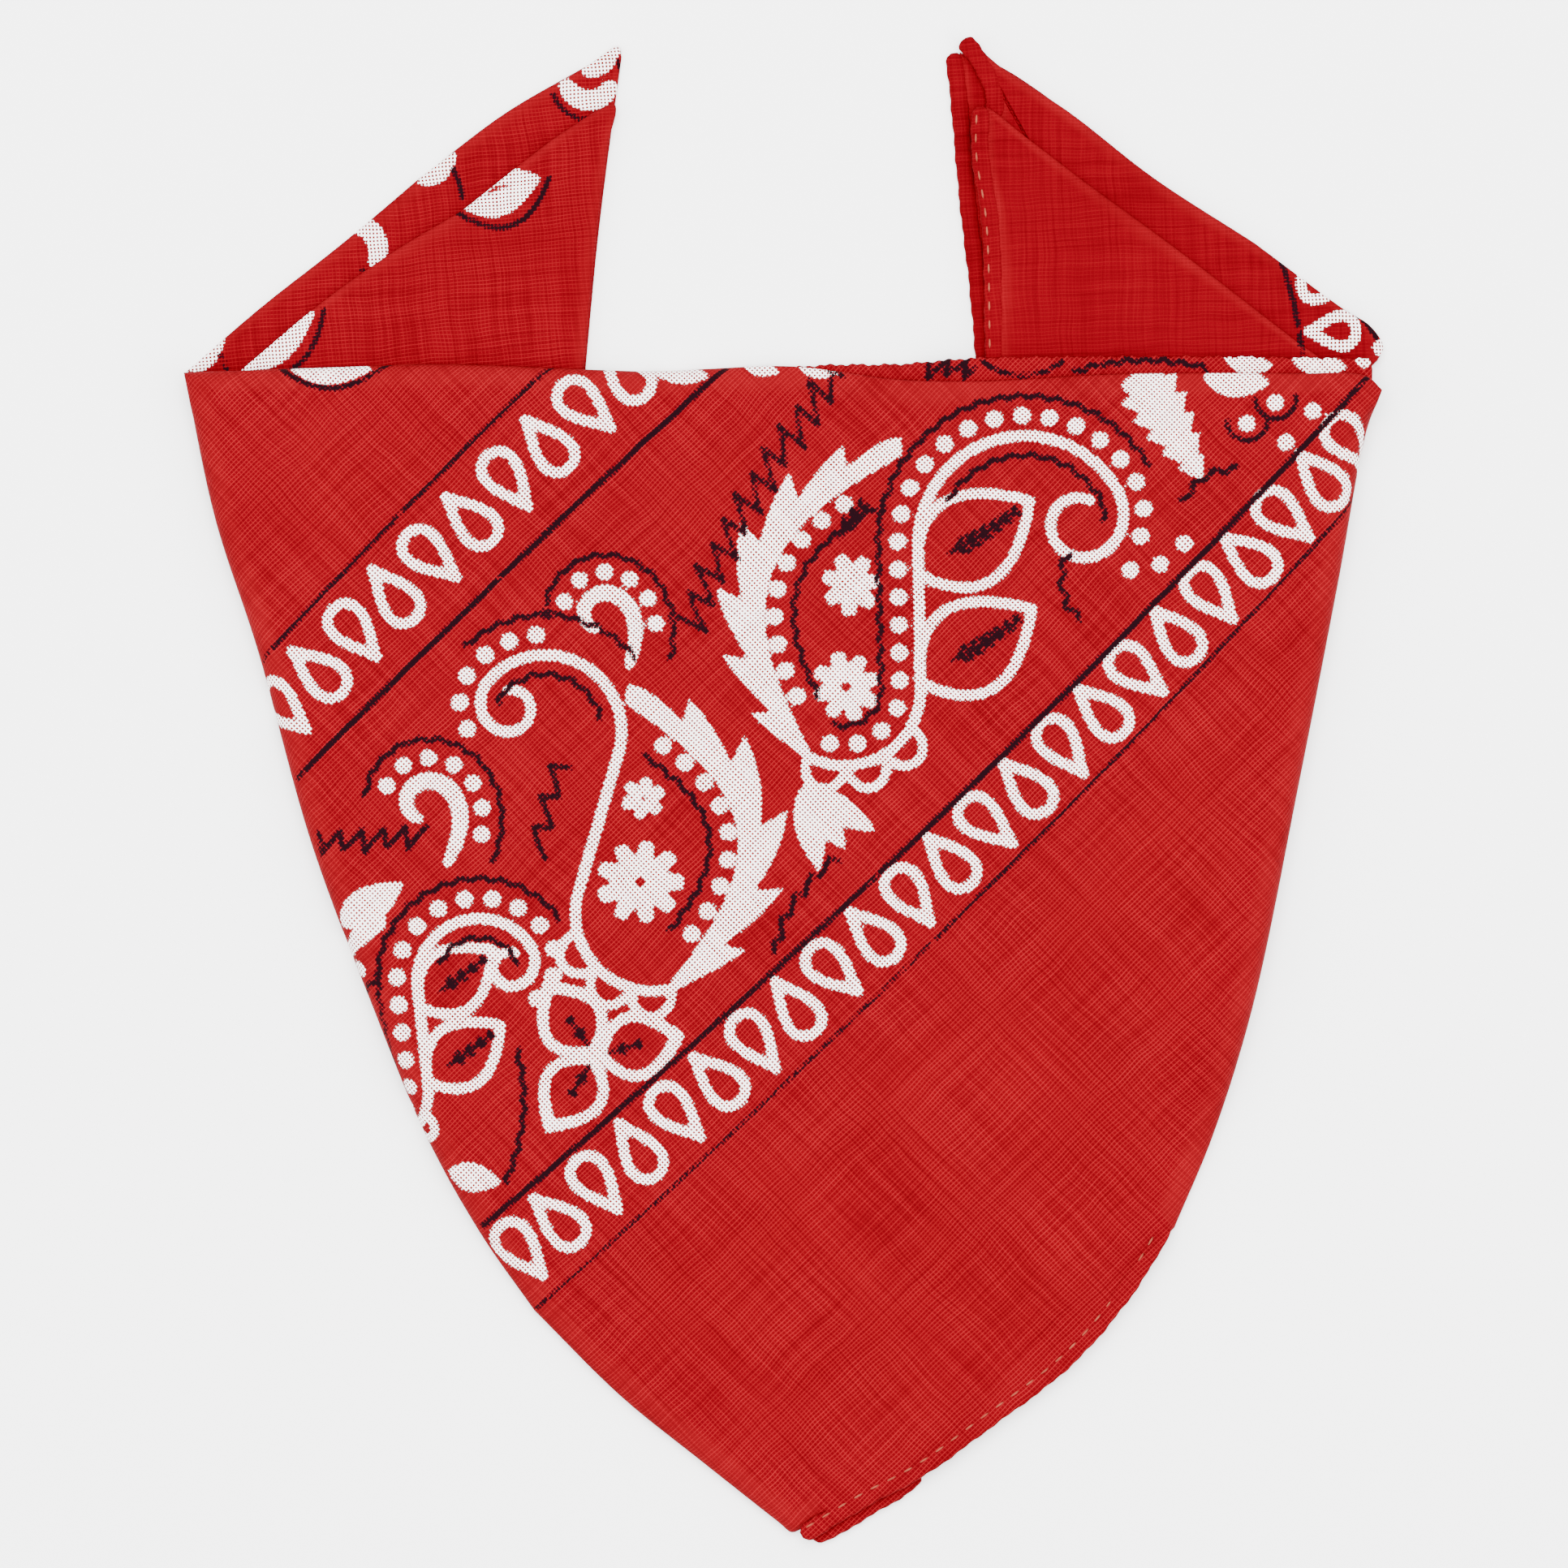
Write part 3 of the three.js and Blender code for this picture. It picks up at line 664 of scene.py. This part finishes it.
def print_on(piece):
    """Keeps on a piece how far each point lies from the white and the navy ink, in millimetres."""
    mesh = piece.data
    flat = np.zeros(len(mesh.vertices) * 3)
    mesh.attributes["flat"].data.foreach_get("vector", flat)
    points = flat.reshape(-1, 3)[:, :2]
    field = {ink: np.full(len(points), FAR) for ink in ("white", "navy", "bare")}
    jobs = [(ink, line, lambda p, line=line, w=w: distance_to_line(p, line, w)) for ink, line, w in STROKES]
    jobs += [(ink, line, lambda p, line=line: distance_to_shape(p, line)) for ink, line in FILLS]
    for ink, line, measure in jobs:
        near = (points > line.min(0) - NEAR) & (points < line.max(0) + NEAR)
        where = np.flatnonzero(np.all(near, axis=1))
        if len(where):
            field[ink][where] = np.minimum(field[ink][where], measure(points[where]))
    field["white"] = np.maximum(field["white"], -field.pop("bare"))
    for ink, values in field.items():
        mesh.attributes.new(ink, "FLOAT", "POINT").data.foreach_set("value", values)


def printed(*pieces):
    """Lays the motifs drawn so far on these pieces, and clears the table for the next ones."""
    for piece in pieces:
        print_on(piece)
    STROKES.clear()
    FILLS.clear()


printed(front_cloth)


def linear(hex_colour):
    """An sRGB hex colour as the linear values that a shader takes."""
    parts = [int(hex_colour[i:i + 2], 16) / 255 for i in (1, 3, 5)]
    return (*(c / 12.92 if c <= 0.04045 else ((c + 0.055) / 1.055) ** 2.4 for c in parts), 1.0)


def add_node(tree, kind, settings=None, **inputs):
    """Adds a node. An input is a value, an output that feeds it, or a node whose first output does. A name
    such as i0 is an input's number."""
    node = tree.nodes.new(kind)
    for name, value in (settings or {}).items():
        setattr(node, name, value)
    for name, value in inputs.items():
        socket = node.inputs[int(name[1:])] if name[1:].isdigit() else node.inputs[name]
        if isinstance(value, bpy.types.Node):
            value = value.outputs[0]
        if isinstance(value, bpy.types.NodeSocket):
            tree.links.new(value, socket)
        else:
            socket.default_value = value
    return node


# Printed cotton: thin plain-weave bandana cloth, dyed red in the piece, with white and navy screened on. It
# is matt. Its yarns lie 0.6 mm apart, the fuzz in the gaps between them has a painted highlight, and the
# white leaves pinholes where four yarns meet. The gloss is that of dyed fibres, so it is faint and red.
YARN = 0.6
RED = "#560008"
RED_DEEP = "#420005"
# Pale red: the painted highlight on the fuzz between the yarns, and the dye worn off at the folded edges
RED_WEAR_AND_HIGHLIGHT = "#80151a"
WHITE = "#f8f1ef"
NAVY = "#0d0408"
RED_GLOSS = "#ff5a50"


def cotton(name, thread_angle, printed=True, highlight_share=1.0):
    """The cloth with its yarns at an angle, in degrees, and how much painted highlight shows on the fuzz
    between them.
    """
    material = bpy.data.materials.new(name)
    material.use_nodes = True
    tree = material.node_tree
    shader = tree.nodes["Principled BSDF"]
    maths, within, cloudy = "ShaderNodeMath", "ShaderNodeMapRange", "ShaderNodeTexNoise"
    rgba = {"data_type": "RGBA"}
    times, plus, less, most = ({"operation": kind} for kind in ("MULTIPLY", "ADD", "SUBTRACT", "MAXIMUM"))

    # The yarns wander a little, and pass over and under each other
    flat = add_node(tree, "ShaderNodeAttribute", {"attribute_name": "flat"}).outputs["Vector"]
    turned = add_node(
        tree, "ShaderNodeMapping", i0=flat,
        Rotation=(0, 0, math.radians(-thread_angle)), Scale=(1 / YARN, 1 / YARN, 1),
    )
    wander = add_node(tree, cloudy, Vector=turned, Scale=0.045, Detail=2.0).outputs["Color"]
    yarns = add_node(
        tree, "ShaderNodeVectorMath", {"operation": "MULTIPLY_ADD"}, i0=wander, i1=(3.0, 3.0, 0), i2=turned,
    )
    axes = add_node(tree, "ShaderNodeSeparateXYZ", i0=yarns).outputs[:2]
    turns = [add_node(tree, maths, times, i0=axis, i1=math.pi) for axis in axes]
    waves = [add_node(tree, maths, {"operation": "SINE"}, i0=turn) for turn in turns]
    across = [add_node(tree, maths, {"operation": "ABSOLUTE"}, i0=wave) for wave in waves]
    over_under = add_node(tree, maths, times, i0=waves[0], i1=waves[1])
    warp = add_node(tree, maths, plus, i0=across[0], i1=over_under)
    weft = add_node(tree, maths, less, i0=across[1], i1=over_under)
    upper = add_node(tree, maths, most, i0=warp, i1=weft)
    height = add_node(tree, maths, times, i0=upper, i1=0.5)

    # Thick and thin places along the yarns, and broad patches, take the dye unevenly
    slubs = []
    for stretch in ((1.0, 0.025, 0), (0.025, 1.0, 0)):
        along = add_node(tree, "ShaderNodeVectorMath", times, i0=yarns, i1=stretch)
        slubs.append(add_node(tree, cloudy, Vector=along, Scale=1.0, Detail=2.0))
    both_slubs = add_node(tree, maths, plus, i0=slubs[0], i1=slubs[1])
    slub = add_node(tree, maths, times, i0=both_slubs, i1=0.5)
    patch = add_node(tree, cloudy, Vector=flat, Scale=0.055, Detail=3.0)
    slub_part = add_node(tree, maths, times, i0=slub, i1=0.75)
    patch_part = add_node(tree, maths, times, i0=patch, i1=0.25)
    cloud = add_node(tree, maths, plus, i0=slub_part, i1=patch_part)
    dyed = add_node(tree, within, i0=cloud, i1=0.3, i2=0.66)
    body = add_node(tree, "ShaderNodeMix", rgba, i0=dyed, i6=linear(RED_DEEP), i7=linear(RED)).outputs[2]

    # A painted highlight lightens the fuzz in the gaps between the yarns, and the dye has worn off the folded
    # edges: both turn pale red
    weft_gaps = add_node(tree, within, i0=across[1], i1=0.5, i2=0.05)
    warp_gaps = add_node(tree, within, i0=across[0], i1=0.45, i2=0.05, i4=0.6)
    lines = add_node(tree, maths, most, i0=weft_gaps, i1=warp_gaps)
    inward = add_node(tree, "ShaderNodeAttribute", {"attribute_name": "inward"}).outputs["Fac"]
    at_fold = add_node(tree, within, i0=inward, i1=2.2, i2=0.2, i4=0.4)
    in_patches = add_node(tree, within, i0=patch, i1=0.35, i2=0.6, i3=0.4)
    in_gaps = add_node(tree, within, i0=lines, i3=0.35)
    worn = add_node(tree, maths, times, i0=at_fold, i1=in_patches)
    worn = add_node(tree, maths, times, i0=worn, i1=in_gaps)
    thick = add_node(tree, within, i0=slub, i1=0.38, i2=0.6, i3=0.34 * highlight_share, i4=0.95 * highlight_share)
    fuzz_highlight = add_node(tree, maths, times, i0=lines, i1=thick)
    pale = add_node(tree, maths, most, i0=fuzz_highlight, i1=worn)
    colour = add_node(tree, "ShaderNodeMix", rgba, i0=pale, i6=body, i7=linear(RED_WEAR_AND_HIGHLIGHT)).outputs[2]

    # The ink sits on the upper yarns, bleeds a little, and the white misses the pinholes where the gaps meet
    if printed:
        upper_part = add_node(tree, maths, less, i0=height, i1=0.5)
        ragged = add_node(tree, maths, times, i0=upper_part, i1=0.4)
        spread = add_node(tree, cloudy, Vector=yarns, Scale=0.9, Detail=2.0)
        spread_part = add_node(tree, maths, less, i0=spread, i1=0.5)
        bleed = add_node(tree, maths, times, i0=spread_part, i1=0.6)
        covered = add_node(tree, maths, most, i0=across[0], i1=across[1])
        slub_cover = add_node(tree, maths, times, i0=slub, i1=0.6)
        soaked = add_node(tree, maths, plus, i0=covered, i1=slub_cover)
        pinholes = add_node(tree, within, i0=soaked, i1=1.0, i2=1.16)
        for ink, ink_colour, kept in (("white", linear(WHITE), pinholes), ("navy", linear(NAVY), 1.0)):
            distance = add_node(tree, "ShaderNodeAttribute", {"attribute_name": ink}).outputs["Fac"]
            on_high = add_node(tree, maths, less, i0=distance, i1=ragged)
            reached = add_node(tree, maths, plus, i0=on_high, i1=bleed)
            inked = add_node(tree, within, i0=reached, i1=0.12, i2=-0.08)
            share = add_node(tree, maths, times, i0=inked, i1=kept)
            colour = add_node(tree, "ShaderNodeMix", rgba, i0=share, i6=colour, i7=ink_colour).outputs[2]
    tree.links.new(colour, shader.inputs["Base Color"])
    bump = add_node(tree, "ShaderNodeBump", Strength=0.5, Distance=0.1 * MM, Height=height)
    tree.links.new(bump.outputs[0], shader.inputs["Normal"])
    shader.inputs["Roughness"].default_value = 0.9
    shader.inputs["Specular IOR Level"].default_value = 0.04
    shader.inputs["Specular Tint"].default_value = linear(RED_GLOSS)
    shader.inputs["Sheen Weight"].default_value = 0.025
    shader.inputs["Sheen Roughness"].default_value = 0.6
    shader.inputs["Sheen Tint"].default_value = linear(RED_GLOSS)
    return material


def dress(piece, material, slot, *nodes):
    """Gives a piece its cloth, hangs it from the root body and hides the solids it stands for."""
    piece.data.materials.append(material)
    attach(piece, "root")
    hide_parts(*nodes)


FRONT_YARN_ANGLE = 44.5
front_cotton = cotton("printed_cotton_front", FRONT_YARN_ANGLE)
dress(front_cloth, front_cotton, "printed_cotton", "front_panel")


# Front hem. The square's edge is rolled over twice, three millimetres wide, and run down by a lockstitch in
# red cotton that has faded towards tan. The stitches sit in the cloth every three millimetres.
STITCH_PITCH = 3.1
STITCH_LENGTH = 1.9
STITCH_WIDTH = 0.38
STITCH_HEIGHT = 0.34
THREAD_RED = "#64160f"
THREAD_TAN = "#80402f"
thread = bpy.data.materials.new("sewing_thread_faded")
thread.use_nodes = True
thread_tree = thread.node_tree
thread_place = add_node(thread_tree, "ShaderNodeTexCoord").outputs["Object"]
thread_fade = add_node(thread_tree, "ShaderNodeTexNoise", Vector=thread_place, Scale=400.0)
thread_mix = add_node(
    thread_tree, "ShaderNodeMix", {"data_type": "RGBA"},
    i0=thread_fade, i6=linear(THREAD_RED), i7=linear(THREAD_TAN),
)
thread_shader = thread_tree.nodes["Principled BSDF"]
thread_tree.links.new(thread_mix.outputs[2], thread_shader.inputs["Base Color"])
thread_shader.inputs["Roughness"].default_value = 0.8
thread_shader.inputs["Specular IOR Level"].default_value = 0.1
ROUNDED = 3


def cloth_strip(name, rows, width, low, high, stations, sides=14, boxy=0.75, narrow=0):
    """A strip wrapped round on itself along a line: the line is its outer edge, and its body lies to the
    left. Its ends are rounded, and it narrows over its last few stations, if any are given."""
    line = smooth_line(rows, stations)
    form = bmesh.new()
    bmesh.ops.create_grid(form, x_segments=stations, y_segments=sides, size=1)
    across = beside(line, 1) - line
    for vert in form.verts:
        i = round((vert.co.x + 1) / 2 * stations)
        turn = (vert.co.y + 1) * math.pi
        slim = math.sqrt(1 - (1 - min(i + 0.2, stations - i + 0.2, ROUNDED) / ROUNDED) ** 2)
        c, s = math.cos(turn), math.sin(turn)
        puff = 1 + 0.05 * math.sin(i * 1.3) + 0.04 * math.sin(i * 0.47)
        wide = width * float(mix(HEM_END, 1, ease((stations - i) / narrow))) if narrow else width
        out = wide * 0.5 * (1 + slim * puff * math.copysign(abs(c) ** boxy, c))
        up = 0.5 * (1 + slim * math.copysign(abs(s) ** boxy, s))
        x, y = line[i] + across[i] * out
        vert.co = (x * MM, y * MM, float(mix(low(*line[i]), high(*line[i]), up)) * MM)
    bmesh.ops.remove_doubles(form, verts=form.verts, dist=1e-7)
    bmesh.ops.holes_fill(form, edges=[e for e in form.edges if e.is_boundary], sides=0)
    bmesh.ops.recalc_face_normals(form, faces=form.faces)
    flat = np.array([v.co[:2] for v in form.verts]) / MM
    return finished_mesh(form, name, flat, np.full(len(flat), UNWORN))


def stitches(name, rows, inset, height):
    """A run of stitches beside a line, each a small rounded thread sunk into the cloth at both ends."""
    line = beside(smooth_line(rows, 400), inset)
    run = run_of(line)
    form = bmesh.new()
    for start in np.arange(1.2, run[-1] - STITCH_LENGTH - 0.6, STITCH_PITCH):
        ends = (start, start + STITCH_LENGTH / 2)
        (ax, ay), (x, y) = ([np.interp(place, run, line[:, k]) for k in (0, 1)] for place in ends)
        heading = math.atan2(y - ay, x - ax)
        made = bmesh.ops.create_icosphere(form, subdivisions=1, radius=0.5)["verts"]
        bmesh.ops.scale(form, vec=(STITCH_LENGTH, STITCH_WIDTH, STITCH_HEIGHT), verts=made)
        c, s = math.cos(heading), math.sin(heading)
        for vert in made:
            along, aside, up = vert.co
            px, py = x + along * c - aside * s, y + along * s + aside * c
            vert.co = (px * MM, py * MM, (float(height(x, y)) + up) * MM)
    flat = np.array([v.co[:2] for v in form.verts]) / MM
    piece = finished_mesh(form, name, flat, np.full(len(flat), UNWORN))
    piece.data.materials.append(thread)
    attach(piece, "root")
    return piece


plain_cotton = cotton("hemmed_cotton", FRONT_YARN_ANGLE, printed=False)
front_hem = cloth_strip(
    "front_hem_roll", FRONT_HEM, HEM_WIDTH, lambda x, y: front_top(x, y) - WALL,
    lambda x, y: front_top(x, y) + HEM_HEIGHT - WALL, 130, narrow=16,
)
dress(front_hem, plain_cotton, "hemmed_cotton", "front_hem")
front_stitches = stitches("front_hem_stitches", FRONT_HEM, 2.3, lambda x, y: front_top(x, y) + 0.12)

# Hidden layers. Seven more layers of the same cotton lie under the front, and past its hem their edges step
# out. They are one soft stack, level where it rests on the table. The next hem shows at the tip.
HIDDEN_CLEARANCE = 0.75
HIDDEN_LAYERS = 3
BEHIND_PLEAT = 4.0
SET_BACK = [2.9, 2.4, 2.6, 0.4, 0.4, 1.2, 6.0]
HIDDEN_CELLS = 60
stack_side = np.vstack([smooth_line(LOWER_FOLD, 24)[:-1], smooth_line(beside(FRONT_HEM, SET_BACK), 24)])
stack_sides = [RIGHT_FOLD, TOP_FOLD, LEFT_FOLD, stack_side]
stack_edge = outline(stack_sides, HIDDEN_CELLS)
stack_on_hem = ease((np.arange(len(stack_edge)) - (3 + FOLDED_SHARE) * HIDDEN_CELLS - 2) / 3)
stack_clear = np.full(len(stack_edge), WALL + GAP + SIDE_ROLL)
stack_clear[HIDDEN_CELLS:2 * HIDDEN_CELLS] = WALL + BEHIND_PLEAT + GAP
stack_clear = mix(stack_clear, 0, stack_on_hem)


def stack_top(x, y):
    return front_top(x, y) - WALL - HIDDEN_CLEARANCE


stack_rings = [(stack_clear + 0.8, 0, stack_top)]
for k in range(HIDDEN_LAYERS - 1, -1, -1):
    for share, inset in ((0.95, 0.35), (0.7, 0.05), (0.4, 0.05), (0.1, 0.4)):
        stack_rings.append((
            stack_clear + inset, 0,
            lambda x, y, up=(k + share) / HIDDEN_LAYERS: stack_top(x, y) * up,
        ))
stack_rings.append((stack_clear + 0.9, 0, lambda x, y: 0 * x))
stack_rings.append((stack_clear, 0.5, lambda x, y: 0 * x))
hidden_layers = cloth_sheet("hidden_layers", stack_sides, MIDDLE, HIDDEN_CELLS, stack_top, stack_rings)
dress(hidden_layers, plain_cotton, "printed_cotton", "inner_folds")
UNDER_HEM = [(5.4, TIP), (10.2, -122.1), (14.1, -119.6), (19.2, -116.7), (23.5, -113.6)]
under_hem = cloth_strip(
    "under_hem_roll", UNDER_HEM, HEM_WIDTH, lambda x, y: 0, lambda x, y: front_top(x, y) - WALL - 2 * GAP, 40,
)
dress(under_hem, plain_cotton, "hemmed_cotton", "under_hem")

# Pleat. Behind the right half of the long fold a second fold of the square peeps out, five millimetres deep,
# and climbs from the table onto the right tail.
PLEAT_WIDTH = 5.0
PLEAT_FOLD = [(97.4, 72.2), (65.3, 72.6), (31.6, 72.3), (18.8, 71.5), (8.0, 71.4), (1.5, 71.0)]
pleat = cloth_strip(
    "top_pleat_cloth", PLEAT_FOLD, PLEAT_WIDTH, lambda x, y: pleat_low(x), lambda x, y: pleat_high(x), 260,
    sides=20, boxy=0.8,
)
for x, length in ((73.0, 8), (84.2, 9)):
    fill("white", leaf(x, 72.2, -10, length, 0.45 * length))
dot("white", 96.0, 72.0, 1.2)
ripple(bow((23.3, 70.6), (31.6, 70.6), 0.0), 1.5, 3.0, 1.0)
stroke("navy", bow((33.0, 71.6), (46.0, 71.6), -2.2), 0.85)
ripple(bow((48.0, 70.0), (70.0, 70.6), 1.6), 0.3, 3.0)
printed(pleat)
dress(pleat, front_cotton, "printed_cotton", "top_pleat")


# Left tail. The left end of the long fold is turned back underneath and stands up above it, folded
# lengthways: a lower layer as wide as the tail, and a narrower one folded over on it, to a soft round edge.
TAIL_CELLS = 90
TAIL_SWELL = 0.12
TUCK = 2.0


def tail_layer(name, sides, middle, low):
    """One layer of a tail, round at its edges and level underneath."""
    def top(x, y):
        return low + WALL + TAIL_SWELL * np.sin(x / 6.1 + y / 9.7) * np.cos(y / 7.3 - x / 13.0)

    rings = []
    for turn in np.radians([90, 65, 40, 15, -15, -45, -90]):
        rings.append((
            0.7 * WALL * (1 - math.cos(turn)), 0,
            lambda x, y, up=0.5 + 0.5 * math.sin(turn): mix(low, top(x, y), up),
        ))
    rings.append((0, 0.5, lambda x, y: low + 0 * x))
    return cloth_sheet(name, sides, middle, TAIL_CELLS, top, rings)


LEFT_TAIL_SIDE = [
    (-27.3, 124.2), (-32.4, 121.1), (-46.2, 113.1), (-60.4, 102.3), (-73.2, 91.5), (-86.8, 80.8),
    (-98.9, TOP + 0.2),
]
LEFT_TAIL_INNER = [(-33.0, TOP - TUCK), (-30.8, 91.5), (-28.8, 107.7), (-26.8, 122.4)]
LEFT_TAIL_FOLD = [
    (-27.9, 114.4), (-35.7, 110.4), (-53.2, 96.9), (-64.7, 90.0), (-76.3, 81.8), (-89.9, 70.4),
]
left_back_sides = [
    LEFT_TAIL_INNER, [(-26.8, 122.4), *LEFT_TAIL_SIDE[:4]], LEFT_TAIL_SIDE[3:],
    [(-98.9, TOP + 0.2), (-96.6, TOP - TUCK), (-33.0, TOP - TUCK)],
]
left_back = tail_layer("left_tail_pleat_cloth", left_back_sides, (-48, 88), 0)
left_inner = [tuple(place) for place in beside(LEFT_TAIL_INNER, GAP)[:3]]
left_front_sides = [
    left_inner, [left_inner[2], *LEFT_TAIL_FOLD[:3]], LEFT_TAIL_FOLD[2:],
    [(-89.9, 70.4), (-92.4, TOP - TUCK), (-33.4, TOP - TUCK)],
]
left_front = tail_layer("left_tail_cloth", left_front_sides, (-48, 84), STEP)

# Leaves with a bare vein and a navy bow on the narrow layer, and bits of rings and leaves past its fold
for x, y, heading, length, width in ((-53.6, 98.0, 18, 14, 8), (-91.0, 71.0, 34, 16, 7.5)):
    fill("white", leaf(x, y, heading, length, width))
    vein = placed(np.array([0.35, 0.65]) * length, np.zeros(2), x, y, heading)
    stroke("bare", bow(vein[0], vein[1], 0.6), 0.9, 0.5)
    ends = placed(np.array([-0.1, 1.1]) * length, np.array([-0.5, -0.5]), x, y, heading)
    stroke("navy", bow(ends[0], ends[1], -0.7 * width), NAVY_LINE)
printed(left_front)
for x, y, tilt in ((-36.0, 117.6, -62), (-67.6, 88.6, 66)):
    stroke("white", pen(x, y, tilt, (9.0, 12.0, 16.0)), 3.2, 0.3)
    stroke("navy", bow((x - 2.2, y - 1.4), (x + 3.4, y - 5.6), -1.0), NAVY_LINE)
for x, y in ((-33.2, 119.4), (-60.4, 101.4), (-99.0, 70.6)):
    fill("white", leaf(x, y, 38, 8.0, 4.0))
    stroke("navy", bow((x + 5.6, y + 2.4), (x + 7.2, y - 2.4), 0.3), NAVY_LINE)
printed(left_back)
# The left tail's cloth has half as much painted highlight on its fuzz as the front's
left_tail_cotton = cotton("printed_cotton_left_tail", 5, highlight_share=0.5)
for piece, sides, node, under in (
    (left_back, left_back_sides, "left_tail_pleat", "floor"),
    (left_front, left_front_sides, "left_tail", "left_tail_pleat_cloth"),
):
    dress(piece, left_tail_cotton, "printed_cotton", node)

# Right tail. The other end is turned back in the same way, and its inner edge is the square's own: three
# layers of cotton, each ending in its rolled hem, with the uppermost hem's stitches showing.
RIGHT_TAIL_SIDE = [
    (98.4, 72.0), (99.4, 74.2), (97.4, 77.6), (92.5, 80.8), (78.1, 91.5), (61.4, 102.3), (47.5, 113.1),
    (35.5, 121.1), (29.6, 124.2),
]
RIGHT_TAIL_FOLD = [(84.5, 75.5), (65.8, 89.9), (49.8, 101.6), (34.8, 112.6)]
LOWEST = TOP + TUCK / 4
BACK_HEM = [(26.8, 122.9), (27.6, 115.8), (29.3, 96.9), (30.6, 86.1), (32.0, LOWEST)]
PLEAT_HEM = [(28.6, 124.2), (30.9, 121.4), (32.8, 117.9), (33.6, 114.6), (32.9, 112.0)]
UPPER_HEM = [(31.2, 114.0), (31.1, 106.3), (32.8, 94.6), (33.4, LOWEST)]
back_seat, pleat_seat, upper_seat = (
    [tuple(place) for place in beside(hem, HEM_WIDTH - HEM_COVER)] for hem in (BACK_HEM, PLEAT_HEM, UPPER_HEM)
)
right_layers = [
    ("right_tail_back", 0, (52, 88), BACK_HEM, 90, [
        RIGHT_TAIL_SIDE[:5], [*RIGHT_TAIL_SIDE[4:8], back_seat[0]], back_seat,
        [back_seat[-1], (96.6, LOWEST), RIGHT_TAIL_SIDE[0]],
    ]),
    ("right_tail_pleat", STEP, (52, 88), PLEAT_HEM, 36, [
        RIGHT_TAIL_SIDE[:5], [*RIGHT_TAIL_SIDE[4:8], pleat_seat[0]], [*pleat_seat, (37, 104), (38, LOWEST)],
        [(38, LOWEST), (96.6, LOWEST), RIGHT_TAIL_SIDE[0]],
    ]),
    ("right_tail", 2 * STEP, (52, 84), UPPER_HEM, 70, [
        RIGHT_TAIL_FOLD[:3], [RIGHT_TAIL_FOLD[2], (39.9, 109.2), (34.6, 113.4), upper_seat[0]], upper_seat,
        [upper_seat[-1], (90.0, LOWEST), RIGHT_TAIL_FOLD[0]],
    ]),
]

# A stretch of the border crosses the tail's outer corner, on all three layers.
for x, y, heading in ((90.9, 76.9, 180), (89.6, 84.7, 0)):
    stroke("white", drop(x, y, heading, 0.72 * DROP_LENGTH, 0.9 * DROP_WIDTH), OUTLINE)
for start, end in (((82.6, 88.0), (85.9, 72.5)), ((93.0, 81.2), (98.2, 75.8))):
    stroke("navy", bow(start, end, 0.5), 0.85)
dot("white", 99.0, 74.2, 1.3)
# The right tail's cloths have less painted highlight on their fuzz than the front's
right_tail_cotton = cotton("printed_cotton_right_tail", 2, highlight_share=0.2)
right_tail_plain = cotton("hemmed_cotton_right_tail", 4, printed=False, highlight_share=0.25)
under = "floor"
for node, low, middle, hem_rows, stations, sides in right_layers:
    piece = tail_layer(f"{node}_cloth", sides, middle, low)
    print_on(piece)
    dress(piece, right_tail_cotton, "printed_cotton", node)
    hem = cloth_strip(
        f"{node}_hem_roll", hem_rows, HEM_WIDTH, lambda x, y, low=low: low,
        lambda x, y, low=low: low + HEM_HEIGHT, stations,
    )
    dress(hem, right_tail_plain, "hemmed_cotton", f"{node}_hem")
    under = piece.name
stitches("right_tail_hem_stitches", UPPER_HEM, 0.8, lambda x, y: 2 * STEP + 0.93 * HEM_HEIGHT)

# Floor and light. A plain pale sweep of paper lies under the cloth, with one broad soft lamp above and two
# weaker ones at the sides.
paper = bpy.data.materials.new("white_paper")
paper.use_nodes = True
paper_shader = paper.node_tree.nodes["Principled BSDF"]
paper_shader.inputs["Base Color"].default_value = linear("#f6f6f6")
paper_shader.inputs["Roughness"].default_value = 0.9
form = bmesh.new()
bmesh.ops.create_grid(form, x_segments=1, y_segments=1, size=3)
mesh = bpy.data.meshes.new("floor")
form.to_mesh(mesh)
form.free()
floor = bpy.data.objects.new("floor", mesh)
floor.data.materials.append(paper)
bpy.context.scene.collection.objects.link(floor)
for name, place, size, watts in (
    ("soft_lamp_above", (-0.02, 0.22, 0.95), 0.9, 36.0),
    ("soft_lamp_left", (-0.8, -0.2, 0.5), 0.6, 8.0),
    ("soft_lamp_right", (0.8, -0.3, 0.6), 0.6, 11.0),
):
    light = bpy.data.lights.new(name, "AREA")
    light.size = size
    light.energy = watts
    lamp = bpy.data.objects.new(name, light)
    lamp.location = place
    lamp.rotation_euler = (-Vector(place)).to_track_quat("-Z", "Y").to_euler()
    bpy.context.scene.collection.objects.link(lamp)
world = bpy.data.worlds.new("pale_room")
world.use_nodes = True
world.node_tree.nodes["Background"].inputs["Color"].default_value = linear("#ffffff")
world.node_tree.nodes["Background"].inputs["Strength"].default_value = 2.2
bpy.context.scene.world = world
